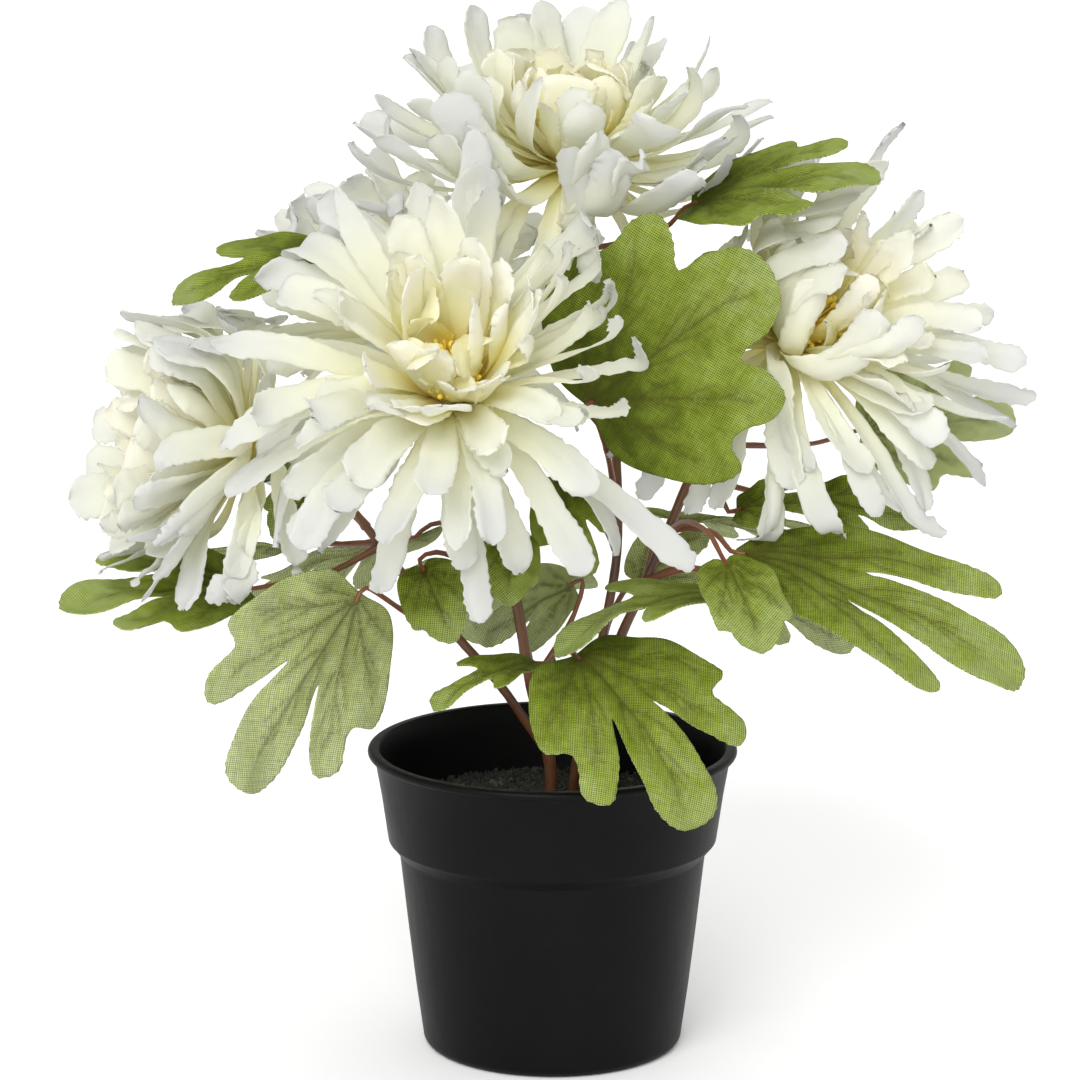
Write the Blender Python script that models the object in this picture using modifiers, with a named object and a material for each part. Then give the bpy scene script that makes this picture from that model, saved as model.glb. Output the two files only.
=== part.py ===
"""Potted chrysanthemum: a plain tapered pot with its filling, two brown stems that fork to five
strap-petalled heads, and lobed leaves on stalks. Sizes are millimetres, and MM turns them to metres."""
import math
import random

import bmesh
import bpy
from mathutils import Quaternion, Vector, geometry

MM = 0.001
GAP = 0.3
UP = Vector((0.0, 0.0, 1.0))

# Pot: a 12 cm rim with a rolled bead, a tapered band, and a body that steps in below it.
POT_HEIGHT = 99.5
RIM_RADIUS = 60.0
BEAD_HEIGHT = 2.6
BAND_TOP_RADIUS = 57.8
BAND_FOOT_RADIUS = 53.4
BAND_FOOT = 68.6
STEP_FOOT = 64.0
BODY_TOP_RADIUS = 49.8
BODY_FOOT_RADIUS = 42.4
CORNER_RADIUS = 3.4
POT_WALL = 1.5
BASE_THICKNESS = 3.0
STEP_ROUND = (1.2, 1.6)
POT_STEPS = 32

# Filling: one block of dark granules, level, well below the rim.
FILLING_TOP = 78.0
HOLE_DEPTH = 42.0
HOLE_CLEARANCE = 0.35
HOLE_SIDES = 10
HOLE_OVERSHOOT = 4.0
FILLING_CLEARANCE = 0.6
FILLING_ROUND = 2.0

# Heads: a core, its petals in five rings, a tuft of stamens on top and a cup below.
CORE_FOOT_RADIUS = 8.8
CORE_TOP_RADIUS = 6.5
CORE_HEIGHT = 11.5
CORE_SIDES = 9
TUFT_RADIUS = 3.3
TUFT_HEIGHT = 2.6
TUFT_SIDES = 7
STAMENS = 5
STAMEN_LENGTH = 7.0
STAMEN_RADII = (1.0, 0.5)
STAMEN_PLACE = 1.7
STAMEN_LEAN = 0.28
STAMEN_FOOT = 0.6
CUP_DEPTH = 14.0
CUP_RADIUS = 7.2
CUP_FOOT_RADIUS = 2.4
CUP_LIP = 1.4
CUP_STEPS = 8

# Petals: full width, thickness, the stations along one and the share of the width at each.
PETAL_WIDTH = 12.5
PETAL_THICKNESS = 0.75
STATIONS = {
    4: ((0.0, 0.38), (0.40, 0.66), (0.82, 1.00), (1.0, 0.52)),
    5: ((0.0, 0.36), (0.30, 0.56), (0.60, 0.84), (0.88, 1.00), (1.0, 0.52)),
}
# Each ring: count, root radius, root height, length and width against the head's own, rise at the
# root and at the tip in degrees, pull of the petal's weight, and its number of stations.
RINGS = (
    (5, 5.0, 9.6, 0.42, 0.76, 74.0, 126.0, 0.00, 4),
    (6, 5.8, 7.6, 0.60, 0.88, 58.0, 92.0, 0.05, 4),
    (8, 6.4, 5.5, 0.78, 1.00, 38.0, 62.0, 0.15, 4),
    (9, 6.4, 3.4, 0.92, 1.00, 14.0, 28.0, 0.35, 5),
    (10, 6.4, 1.3, 1.00, 0.92, -10.0, -4.0, 0.60, 5),
)
RING_OFFSET = 0.381966
FINE_STEPS = 20

# Heads: foot of the core, direction faced, petal length, share of it in the lowest petals, and seed.
HEADS = {
    "front": ((-31.0, -48.0, 222.0), (-0.05, -0.74, 0.67), 77.0, 0.84, 11),
    "top": ((5.0, 22.0, 283.5), (0.05, -0.25, 0.97), 72.0, 1.00, 23),
    "right": ((76.0, 2.0, 231.0), (0.30, -0.72, 0.62), 73.0, 1.00, 31),
    "left": ((-96.0, -8.0, 196.0), (-0.88, -0.30, 0.36), 66.0, 0.90, 47),
    "back": ((-42.0, 62.0, 222.0), (-0.35, 0.76, 0.55), 70.0, 1.00, 59),
}
# Single petals that reach past their ring: head, ring, azimuth, length, rise, tip rise, sway, twist, width.
EXTRA_PETALS = (
    ("front", 4, -24.0, 1.22, -16.0, 2.0, 0.05, 20.0, 0.90),
    ("front", 4, -80.0, 1.08, -16.0, -20.0, 0.05, -12.0, 0.80),
)
# Where two crowded heads meet: a point, the direction from the first head to the second, and the width
# that each of them leaves free there for leaves and stalks.
SPLITS = (
    ("front", "top", (-13.0, -10.0, 258.0), (0.25, 0.90, 0.35), 0.0, 0.0),
    ("front", "right", (40.0, -38.0, 240.0), (0.35, 0.93, 0.00), 7.0, 14.0),
    ("front", "left", (-75.0, -30.0, 205.0), (-0.55, 0.80, -0.20), 0.0, 0.0),
    ("front", "back", (-38.0, 8.0, 222.0), (-0.12, 0.99, 0.00), 5.0, 5.0),
    ("top", "right", (44.0, 8.0, 260.0), (0.75, -0.20, -0.62), 3.0, 3.0),
    ("top", "back", (-20.0, 44.0, 254.0), (-0.58, 0.43, -0.69), 0.0, 0.0),
    ("left", "back", (-70.0, 27.0, 209.0), (0.57, 0.78, 0.29), 3.0, 3.0),
)
# Where a head meets a leaf beside it: a point and the direction that its petals don't pass.
BOUNDS = (
    ("left", (-100.0, -14.0, 165.0), (0.05, 0.20, -0.97)),
    ("left", (-100.0, 0.0, 240.0), (0.10, 0.00, 1.00)),
    ("front", (30.0, -70.0, 240.0), (0.93, 0.00, 0.37)),
    ("top", (40.0, -15.0, 273.5), (0.40, -0.35, -0.85)),
    ("right", (85.0, -35.0, 174.0), (0.00, -0.25, -0.97)),
    ("right", (72.0, -16.0, 276.0), (-0.35, -0.45, 0.85)),
    ("right", (30.0, 0.0, 225.0), (-0.85, 0.00, 0.50)),
    ("right", (124.0, 30.0, 205.0), (0.00, 0.80, -0.60)),
    ("back", (-53.0, 81.0, 172.0), (0.00, 0.20, -0.98)),
)
SPLIT_MARGIN = 3.5
SLIDE_START = 12.0
EDGE_MARGIN = 0.8
EDGE_SPREAD = 1.6

# Stems: name, node, radius and the points that its tube runs through. A stem to a head ends in its cup.
STEM_RESOLUTION = 1
CAP_WELD = 0.02 * MM
STALK_RESOLUTION = 0
STEM_STEP = 21.0
STEM_ROOT = FILLING_TOP - HOLE_DEPTH + GAP
LEFT_ROOT = (-0.6, 0.0)
RIGHT_ROOT = (6.6, 0.8)
LEFT_RADIUS = 2.1
RIGHT_RADIUS = 1.75
BRANCH_RADIUS = 1.5
STALK_FOOT_RADIUS = 1.2
STALK_TIP_RADIUS = 0.85
STEMS = (
    ("left", LEFT_RADIUS, "front", (
        (*LEFT_ROOT, STEM_ROOT), (*LEFT_ROOT, 58.0), (*LEFT_ROOT, 79.0), (-1.0, 0.0, 96.0),
        (-7.0, -2.0, 120.0), (-12.0, -5.0, 150.0), (-19.0, -8.0, 177.0))),
    ("left", BRANCH_RADIUS, "left", (
        (-1.0, 0.0, 96.0), (-16.0, -3.0, 119.0), (-25.0, -4.0, 130.0), (-44.0, -4.0, 152.0),
        (-60.0, 0.0, 172.0))),
    ("left", BRANCH_RADIUS, "back", (
        (-0.8, 0.0, 90.0), (-7.0, 10.0, 122.0), (-17.0, 24.0, 160.0), (-29.0, 38.0, 193.0))),
    ("right", RIGHT_RADIUS, "right", (
        (*RIGHT_ROOT, STEM_ROOT), (*RIGHT_ROOT, 58.0), (*RIGHT_ROOT, 79.0), (7.2, 0.7, 90.0),
        (12.5, 0.5, 115.0), (20.2, 2.0, 131.0), (30.2, 5.0, 153.0), (37.0, 6.0, 169.0),
        (50.0, 10.0, 197.0))),
    ("right", BRANCH_RADIUS, "top", (
        (10.0, 0.7, 103.0), (15.0, 4.0, 128.0), (20.5, 8.0, 158.0), (20.0, 16.0, 200.0),
        (12.0, 25.0, 240.0))),
)
CUP_LEAD = 11.0
STALK_GAP = 0.6
STALK_LEAD = 4.0
STALK_STEP = 17.0

# Leaf forms: half an outline as (angle, radius) from the root, with the lobes' tips and the slits
# between them, and points inside that carry the bend. Radii are shares of the leaf's length.
LEAF_FORMS = {
    "five": (
        ((0, 1.00), (6, 0.97), (10.5, 0.86), (13, 0.66), (15, 0.42), (19, 0.62), (24, 0.82), (33, 0.80),
         (38, 0.62), (50, 0.64), (64, 0.46), (95, 0.22), (150, 0.03)),
        ((0, 0.15), (0, 0.42), (0, 0.72), (27, 0.50), (-27, 0.50))),
    "long": (
        ((0, 1.00), (4.5, 0.98), (8, 0.88), (9.5, 0.68), (11, 0.40), (14, 0.62), (17, 0.82), (23.5, 0.81),
         (28, 0.62), (36, 0.44), (55, 0.24), (150, 0.03)),
        ((0, 0.15), (0, 0.42), (0, 0.72), (19, 0.55), (-19, 0.55))),
    "three": (
        ((0, 1.00), (9, 0.93), (13, 0.72), (16, 0.48), (24, 0.68), (36, 0.70), (54, 0.46), (90, 0.20),
         (150, 0.03)),
        ((0, 0.18), (0, 0.45), (0, 0.74))),
    "narrow": (
        ((0, 1.00), (6, 0.92), (8, 0.72), (10, 0.50), (22, 0.62), (30, 0.58), (40, 0.30), (80, 0.08),
         (150, 0.03)),
        ((0, 0.18), (0, 0.45), (0, 0.74))),
    "simple": (
        ((0, 1.00), (12, 0.90), (20, 0.78), (27, 0.80), (42, 0.58), (75, 0.34), (120, 0.12), (150, 0.04)),
        ((0, 0.28), (0, 0.64))),
}
LEAF_THICKNESS = 0.75
LEAF_FOLD = 9.0
LEAF_SIDE_DROOP = 0.30
LEAF_WAVE = 0.008


def leaf_row(name, stem, form, root, tip, facing, droop, *stalk):
    """One leaf: its place, the way its upper face looks, its droop, and its stalk from the stem."""
    return {"name": name, "stem": stem, "form": form, "root": root, "tip": tip, "facing": facing,
            "droop": droop, "stalk": stalk}


LEAVES = (
    leaf_row("front_left", "left", "five", (-61, -38, 157), (-97, -62, 101), (-0.5, 0.8, 0.1), 20,
             (-31, -4, 136), (-40, -14, 142), (-50, -26, 152)),
    leaf_row("front_rim", "right", "five", (8, -48, 140), (44, -84, 95), (0.3, -0.75, 0.6), 55,
             (12, 1, 115), (8, -16, 131), (6, -34, 140)),
    leaf_row("rim_left", "left", "narrow", (-5, -38, 136), (-37, -60, 126), (0, -0.2, 1), 45,
             (-6, -2, 118), (-1, -14, 128), (0, -28, 136)),
    leaf_row("arch", "right", "narrow", (56, -32, 155), (1, -52, 141), (0, -0.1, 1), 62,
             (31, 5, 153), (46, -8, 160), (62, -22, 158)),
    leaf_row("right_low", "right", "long", (60, -22, 168), (146, -50, 132), (0.2, -0.5, 0.85), 34,
             (37, 6, 169), (44, -2, 172), (52, -12, 172)),
    leaf_row("heart", "right", "simple", (54, -42, 169), (65, -64, 145), (0.3, -0.8, 0.5), 30,
             (37, 6, 169), (43, -12, 176), (49, -30, 176)),
    leaf_row("right_pale", "right", "three", (61, 12, 149), (98, 20, 126), (0.3, 0.8, 0.5), 20,
             (30, 5, 153), (42, 9, 157), (52, 11, 154)),
    leaf_row("far_right", "right", "five", (103, 46, 195), (152, 38, 200), (0, 0.95, 0.2), 18,
             (50, 10, 197), (68, 24, 194), (88, 40, 192)),
    leaf_row("right_tucked", "right", "three", (84, 12, 178), (119, -2, 172), (0.1, -0.5, 0.8), 24,
             (46, 9, 188), (60, 14, 182), (73, 15, 179)),
    leaf_row("top_right", "right", "five", (45, -5, 277), (101, -28, 287), (0, -0.35, 0.95), 25,
             (6, 29, 258), (20, 17, 261), (35, 2, 268)),
    leaf_row("between", "right", "five", (12, -25, 217), (67, -44, 262), (0.1, -0.9, 0.3), 18,
             (20, 11, 175), (18, -3, 194), (14, -18, 209)),
    leaf_row("behind_between", "right", "three", (23, -16, 236), (56, -30, 262), (0, -0.9, 0.4), 14,
             (18, 18, 210), (20, 6, 222), (22, -9, 232)),
    leaf_row("upper_left", "left", "three", (-74, 5, 259), (-121, 0, 244), (0, -0.3, 0.95), 30,
             (-19, -8, 177), (-38, 2, 216), (-59, 5, 250)),
    leaf_row("left_low", "left", "five", (-99, -14, 155), (-156, -27, 151), (0, -0.3, 0.95), 24,
             (-55, -1, 166), (-72, -6, 158), (-86, -11, 156)),
    leaf_row("left_tucked", "left", "simple", (-75, -16, 189), (-88, -31, 174), (0.2, -0.8, 0.5), 20,
             (-60, 0, 172), (-66, -6, 182), (-71, -12, 188)),
    leaf_row("under_front", "left", "simple", (-41, -22, 163), (-31, -40, 143), (0, -0.9, 0.3), 24,
             (-13, -5, 152), (-26, -10, 162), (-37, -16, 167)),
    leaf_row("under_front_small", "left", "simple", (-13, -30, 175), (-14, -46, 156), (0, -0.9, 0.3), 24,
             (-17, -7, 168), (-14, -16, 177), (-13, -25, 178)),
    leaf_row("under_right", "right", "three", (2, -16, 191), (10, -28, 161), (0.2, -0.9, 0.3), 22,
             (20, 9, 163), (12, 2, 180), (4, -8, 191)),
    leaf_row("pale_left", "left", "three", (6, 8, 151), (-24, -4, 135), (0, 0.9, 0.3), 20,
             (-7, -2, 120), (4, 4, 136), (9, 8, 147)),
    leaf_row("pale_right", "right", "three", (28, 16, 151), (50, 34, 164), (0, 0.7, -0.6), 14,
             (15, 4, 128), (19, 10, 140), (23, 14, 147)),
    leaf_row("mid_right", "right", "three", (60, 3, 177), (88, -10, 181), (0.1, -0.6, 0.8), 22,
             (45, 8, 184), (50, 7, 182), (55, 5, 179)),
    leaf_row("back_left", "left", "five", (-48, 38, 160), (-92, 80, 114), (-0.5, 0.5, 0.7), 44,
             (-17, 24, 160), (-28, 33, 166), (-40, 37, 165)),
    leaf_row("back_low", "left", "five", (-12, 44, 148), (-26, 98, 110), (0, 0.6, 0.8), 50,
             (-11, 16, 139), (-12, 26, 148), (-12, 36, 151)),
    leaf_row("back_right", "right", "five", (42, 36, 166), (90, 80, 140), (0.4, 0.5, 0.8), 40,
             (30, 5, 153), (33, 16, 162), (38, 28, 167)),
    leaf_row("back_high", "right", "three", (36, 50, 226), (82, 84, 236), (0.3, 0.4, 0.8), 30,
             (18, 18, 210), (24, 30, 220), (31, 42, 225)),
    leaf_row("back_side", "right", "three", (78, 46, 217), (106, 80, 208), (0.2, 0.3, 0.9), 30,
             (50, 10, 197), (58, 22, 206), (68, 36, 215)),
    leaf_row("back_outer", "left", "three", (-90, 18, 162), (-122, 46, 138), (-0.3, 0.4, 0.8), 36,
             (-56, -2, 167), (-68, 6, 165), (-80, 13, 164)),
)


def new_material(name, colour, roughness):
    """A Principled material with the finish of one kind of sub-part."""
    material = bpy.data.materials.new(name)
    material.use_nodes = True
    shader = material.node_tree.nodes["Principled BSDF"]
    shader.inputs["Base Color"].default_value = (*colour, 1.0)
    shader.inputs["Roughness"].default_value = roughness
    shader.inputs["Metallic"].default_value = 0.0
    return material


def new_object(name, mesh, collection):
    """An object with a mesh, linked to a collection."""
    thing = bpy.data.objects.new(name, mesh)
    collection.objects.link(thing)
    return thing


def mesh_from(bm, name):
    """A mesh with the faces of bm, whose sizes are millimetres."""
    bmesh.ops.scale(bm, vec=(MM, MM, MM), verts=bm.verts)
    mesh = bpy.data.meshes.new(name)
    bm.to_mesh(mesh)
    bm.free()
    return mesh


def evaluated(thing, weld=0.0):
    """The object's mesh in triangles, modifiers applied; a weld joins a curve's caps to its tube."""
    depsgraph = bpy.context.evaluated_depsgraph_get()
    mesh = bpy.data.meshes.new_from_object(thing.evaluated_get(depsgraph))
    bm = bmesh.new()
    bm.from_mesh(mesh)
    if weld:
        bmesh.ops.remove_doubles(bm, verts=bm.verts, dist=weld)
    bmesh.ops.triangulate(bm, faces=bm.faces)
    bm.to_mesh(mesh)
    bm.free()
    return mesh


def replace_by_mesh(thing, weld=0.0):
    """A mesh object in the place of a curve or of an object with modifiers."""
    mesh = evaluated(thing, weld)
    mesh.transform(thing.matrix_world)
    collection = thing.users_collection[0]
    solid = new_object(thing.name + "_solid", mesh, collection)
    bpy.data.objects.remove(thing)
    return solid


def outer_body(mesh):
    """Keeps the largest outward body of a fused mesh: a sealed hollow is filled and scrap is dropped."""
    bm = bmesh.new()
    bm.from_mesh(mesh)
    bodies = []
    left = set(bm.faces)
    while left:
        stack = [left.pop()]
        body = list(stack)
        while stack:
            for edge in stack.pop().edges:
                for face in edge.link_faces:
                    if face in left:
                        left.remove(face)
                        stack.append(face)
                        body.append(face)
        volume = 0.0
        for face in body:
            corners = [v.co for v in face.verts]
            for second, third in zip(corners[1:], corners[2:]):
                volume += corners[0].dot(second.cross(third))
        bodies.append((volume, body))
    bodies.sort(key=lambda item: item[0])
    for volume, body in bodies[:-1]:
        bmesh.ops.delete(bm, geom=body, context="FACES")
    bmesh.ops.delete(bm, geom=[v for v in bm.verts if not v.link_faces], context="VERTS")
    bm.to_mesh(mesh)
    bm.free()


def fuse(name, base, pieces, collection, solver="EXACT"):
    """One Boolean union of a base with the pieces' collection, applied, and the pieces removed."""
    union = base.modifiers.new("union", "BOOLEAN")
    union.operation = "UNION"
    union.operand_type = "COLLECTION"
    union.collection = pieces
    union.solver = solver
    mesh = evaluated(base)
    outer_body(mesh)
    mesh.name = name
    for piece in list(pieces.objects):
        bpy.data.objects.remove(piece)
    bpy.data.collections.remove(pieces)
    bpy.data.objects.remove(base)
    return new_object(name, mesh, collection)


def smooth_path(points, spacing):
    """Points about a spacing apart on a smooth curve through the given ones."""
    points = [Vector(p) for p in points]
    ends = [points[0] * 2 - points[1]] + points + [points[-1] * 2 - points[-2]]
    path = [points[0]]
    for before, start, end, after in zip(ends, ends[1:], ends[2:], ends[3:]):
        count = max(1, round((end - start).length / spacing))
        for i in range(1, count + 1):
            t = i / count
            linear, square = end - before, 2 * before - 5 * start + 4 * end - after
            cubic = 3 * start - before - 3 * end + after
            path.append(0.5 * (2 * start + linear * t + square * t * t + cubic * t ** 3))
    return path


def tube(name, path, radius, tip_radius, resolution, collection):
    """A closed tube along a path as a curve with filled caps, made a mesh."""
    curve = bpy.data.curves.new(name, "CURVE")
    curve.dimensions = "3D"
    curve.bevel_depth = radius * MM
    curve.bevel_resolution = resolution
    curve.use_fill_caps = True
    spline = curve.splines.new("POLY")
    spline.points.add(len(path) - 1)
    for i, (point, co) in enumerate(zip(spline.points, path)):
        point.co = (*(co * MM), 1.0)
        share = i / (len(path) - 1)
        point.radius = 1.0 + share * (tip_radius / radius - 1.0)
    thing = bpy.data.objects.new(name, curve)
    collection.objects.link(thing)
    return replace_by_mesh(thing, CAP_WELD)


def turned(name, profile, steps, collection):
    """A shape turned about Z from a profile of (radius, height) that runs down its outer side."""
    bm = bmesh.new()
    verts = [bm.verts.new((radius, 0.0, height)) for radius, height in profile]
    for a, b in zip(verts, verts[1:]):
        bm.edges.new((a, b))
    thing = new_object(name, mesh_from(bm, name), collection)
    screw = thing.modifiers.new("turn", "SCREW")
    screw.axis = "Z"
    screw.steps = steps
    screw.render_steps = steps
    screw.use_merge_vertices = True
    screw.merge_threshold = 0.00005
    return thing


def arc(centre, radius, start, end, count):
    """Points of an arc in the (radius, height) plane, with angles in degrees."""
    points = []
    for i in range(count + 1):
        angle = math.radians(start + (end - start) * i / count)
        points.append((centre[0] + radius * math.cos(angle), centre[1] + radius * math.sin(angle)))
    return points


def inner_radius(height):
    """Radius of the pot's inner wall at a height, along the body and then the band."""
    if height <= STEP_FOOT:
        share = height / STEP_FOOT
        return BODY_FOOT_RADIUS + share * (BODY_TOP_RADIUS - BODY_FOOT_RADIUS) - POT_WALL
    share = (height - BAND_FOOT) / (POT_HEIGHT - BAND_FOOT)
    return max(BODY_TOP_RADIUS, BAND_FOOT_RADIUS + share * (BAND_TOP_RADIUS - BAND_FOOT_RADIUS)) - POT_WALL


def make_pot(collection, material):
    """The pot in one piece: bead, band, step, tapered body, closed base, and the wall inside."""
    bead = BEAD_HEIGHT / 2
    profile = [(0.0, BASE_THICKNESS), (inner_radius(BASE_THICKNESS) - CORNER_RADIUS, BASE_THICKNESS)]
    profile += [(inner_radius(CORNER_RADIUS * 2), CORNER_RADIUS * 2), (inner_radius(STEP_FOOT), STEP_FOOT)]
    profile += [(inner_radius(BAND_FOOT), BAND_FOOT), (inner_radius(POT_HEIGHT), POT_HEIGHT)]
    profile += arc((RIM_RADIUS - bead, POT_HEIGHT - bead), bead, 90, -60, 3)
    profile += [(BAND_TOP_RADIUS, POT_HEIGHT - 2 * BEAD_HEIGHT), (BAND_FOOT_RADIUS, BAND_FOOT)]
    profile += [(BODY_TOP_RADIUS + STEP_ROUND[0], STEP_FOOT + STEP_ROUND[1]), (BODY_TOP_RADIUS, STEP_FOOT)]
    corner = (BODY_FOOT_RADIUS - CORNER_RADIUS, CORNER_RADIUS)
    profile += arc(corner, CORNER_RADIUS, 0, -90, 2)
    profile += [(0.0, 0.0)]
    pot = turned("pot", profile, POT_STEPS, collection)
    pot.data.materials.append(material)


def make_filling(collection, material):
    """The filling: a level block that the pot's wall shapes, with a plain blind hole for each stem."""
    foot = BASE_THICKNESS + GAP
    shoulder = FILLING_TOP - FILLING_ROUND
    top_radius = inner_radius(FILLING_TOP) - FILLING_CLEARANCE - FILLING_ROUND
    profile = [(0.0, FILLING_TOP), (top_radius, FILLING_TOP)]
    for height in (shoulder, BAND_FOOT, STEP_FOOT, CORNER_RADIUS * 2 + GAP):
        profile.append((inner_radius(height) - FILLING_CLEARANCE, height))
    profile += [(inner_radius(BASE_THICKNESS) - CORNER_RADIUS - FILLING_CLEARANCE, foot), (0.0, foot)]
    filling = turned("filling", profile, POT_STEPS, collection)
    filling.data.materials.append(material)
    cutters = bpy.data.collections.new("filling_cutters")
    bpy.context.scene.collection.children.link(cutters)
    for label, (x, y), radius in (("left", LEFT_ROOT, LEFT_RADIUS), ("right", RIGHT_ROOT, RIGHT_RADIUS)):
        bm = bmesh.new()
        reach = HOLE_DEPTH + HOLE_OVERSHOOT
        hole = radius + HOLE_CLEARANCE
        bmesh.ops.create_cone(bm, cap_ends=True, segments=HOLE_SIDES, radius1=hole, radius2=hole, depth=reach)
        bmesh.ops.translate(bm, vec=(x, y, FILLING_TOP + HOLE_OVERSHOOT - reach / 2), verts=bm.verts)
        cutter = new_object("hole_" + label, mesh_from(bm, "hole_" + label), cutters)
        cutter.hide_render = True
        cutter.display_type = "WIRE"
    cut = filling.modifiers.new("holes", "BOOLEAN")
    cut.operation = "DIFFERENCE"
    cut.operand_type = "COLLECTION"
    cut.collection = cutters


def head_frame(head):
    """A head's foot, its right, its upper side and the way it faces."""
    foot, axis = Vector(HEADS[head][0]), Vector(HEADS[head][1]).normalized()
    upper = (UP - axis * UP.dot(axis)).normalized()
    return foot, upper.cross(axis), upper, axis


def head_splits(head):
    """The planes that a head stays behind: a point, the outward direction and the half width kept free."""
    planes = []
    for first, second, point, direction, first_free, second_free in SPLITS:
        if head == first:
            planes.append((Vector(point), Vector(direction).normalized(), first_free))
        if head == second:
            planes.append((Vector(point), -Vector(direction).normalized(), second_free))
    for bound, point, direction in BOUNDS:
        if head == bound:
            planes.append((Vector(point), Vector(direction).normalized(), 0.0))
    return planes


def slid_along(way, point, planes):
    """A petal's direction, turned to slide along a plane as the petal comes near it."""
    for centre, outward, free in planes:
        room = -(SPLIT_MARGIN + free) - (point - centre).dot(outward)
        part = way.dot(outward)
        if part > 0.0 and room < SLIDE_START:
            way = way - outward * part * (1.0 - max(room, 0.0) / SLIDE_START)
    return way.normalized()


def laid_flat(across, along, point, half, planes, inset):
    """A petal's width direction, turned so that neither of its edges passes a plane."""
    for centre, outward, free in planes:
        room = max(-(point - centre).dot(outward) - EDGE_MARGIN - free - inset, 0.0)
        part = across.dot(outward)
        if abs(part) * half > room:
            kept = math.copysign(room / half, part)
            beside = along.cross(outward)
            flat = across - outward * part + beside * math.copysign(0.5, beside.dot(across))
            across = flat.normalized() * math.sqrt(1.0 - kept * kept) + outward * kept
    return across


def edge_clear(point, planes, inset):
    """A petal's edge point, cut back to its own side of each plane; the inset keeps petals off each other."""
    for centre, outward, free in planes:
        beyond = (point - centre).dot(outward) + EDGE_MARGIN + free + inset
        if beyond > 0:
            point = point - outward * beyond
    return point


def ring_petals(head):
    """Every petal of a head: ring, azimuth, length, rises, sway, twist and width, most of them drawn."""
    draw = random.Random(HEADS[head][4])
    petals = []
    for ring, (count, _, _, length, width, rise, tip_rise, _, _) in enumerate(RINGS):
        for i in range(count):
            azimuth = 2 * math.pi * (i + ring * RING_OFFSET + draw.uniform(-0.16, 0.16)) / count
            lift = draw.uniform(-6.0, 6.0)
            petals.append({
                "ring": ring, "azimuth": azimuth, "length": length * draw.uniform(0.90, 1.05),
                "rise": rise + lift, "tip_rise": tip_rise + 1.6 * lift + draw.uniform(-8.0, 8.0),
                "sway": draw.uniform(-0.22, 0.22), "twist": draw.uniform(-28.0, 28.0),
                "width": width * draw.uniform(0.86, 1.06),
                "inset": EDGE_SPREAD * (len(petals) * RING_OFFSET % 1.0),
            })
    for owner, ring, azimuth, length, rise, tip_rise, sway, twist, width in EXTRA_PETALS:
        if owner == head:
            petals.append({
                "ring": ring, "azimuth": math.radians(azimuth), "length": length, "rise": rise,
                "tip_rise": tip_rise, "sway": sway, "twist": twist, "width": width, "inset": 0.0,
            })
    return petals


def petal_midline(head, petal, planes):
    """Even points along a petal's middle, in world millimetres, and the width direction at each."""
    foot, right, upper, axis = head_frame(head)
    lowness = max(-math.sin(petal["azimuth"]), 0.0)
    reach = HEADS[head][2] * petal["length"] * (1.0 - lowness * (1.0 - HEADS[head][3]))
    ring = RINGS[petal["ring"]]
    outward = right * math.cos(petal["azimuth"]) + upper * math.sin(petal["azimuth"])
    sideways = axis.cross(outward)
    point = foot + axis * ring[2] + outward * ring[1]
    points = [point]
    for i in range(FINE_STEPS):
        share = (i + 0.5) / FINE_STEPS
        rise = math.radians(petal["rise"] + (petal["tip_rise"] - petal["rise"]) * share ** 1.2)
        way = outward * math.cos(rise) + axis * math.sin(rise) + sideways * petal["sway"] * share
        way = slid_along((way.normalized() - UP * ring[7] * share ** 1.3).normalized(), point, planes)
        point = point + way * reach / FINE_STEPS
        points.append(point)
    widths = []
    for i in range(FINE_STEPS + 1):
        along = (points[min(i + 1, FINE_STEPS)] - points[max(i - 1, 0)]).normalized()
        turn = Quaternion(along, math.radians(petal["twist"] * i / FINE_STEPS))
        widths.append(turn @ (sideways - along * sideways.dot(along)).normalized())
    return points, widths


def make_petal(name, head, petal, planes, collection):
    """One strap petal: a narrow grid bent along its midline, split alike on both faces, given a wall."""
    stations = STATIONS[RINGS[petal["ring"]][8]]
    points, widths = petal_midline(head, petal, planes)
    bm = bmesh.new()
    pairs = []
    for share, breadth in stations:
        i = share * FINE_STEPS
        low = min(int(i), FINE_STEPS - 1)
        middle = points[low].lerp(points[low + 1], i - low)
        across = widths[low].lerp(widths[low + 1], i - low).normalized()
        along = (points[low + 1] - points[low]).normalized()
        half = PETAL_WIDTH * petal["width"] * breadth / 2
        across = laid_flat(across, along, middle, half, planes, petal["inset"]) * half
        sides = [edge_clear(middle + across * side, planes, petal["inset"]) for side in (-1, 1)]
        pairs.append([bm.verts.new(side) for side in sides])
    for (a, b), (c, d) in zip(pairs, pairs[1:]):
        bm.faces.new((a, b, c))
        bm.faces.new((b, d, c))
    strap = new_object(name, mesh_from(bm, name), collection)
    wall = strap.modifiers.new("wall", "SOLIDIFY")
    wall.thickness = PETAL_THICKNESS * MM
    wall.offset = 0.0
    return replace_by_mesh(strap)


def to_head(bm, head):
    """Turns a shape made about Z to face as the head does, at its foot."""
    foot, right, upper, axis = head_frame(head)
    for vert in bm.verts:
        x, y, z = vert.co
        vert.co = foot + right * x + upper * y + axis * z


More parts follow.
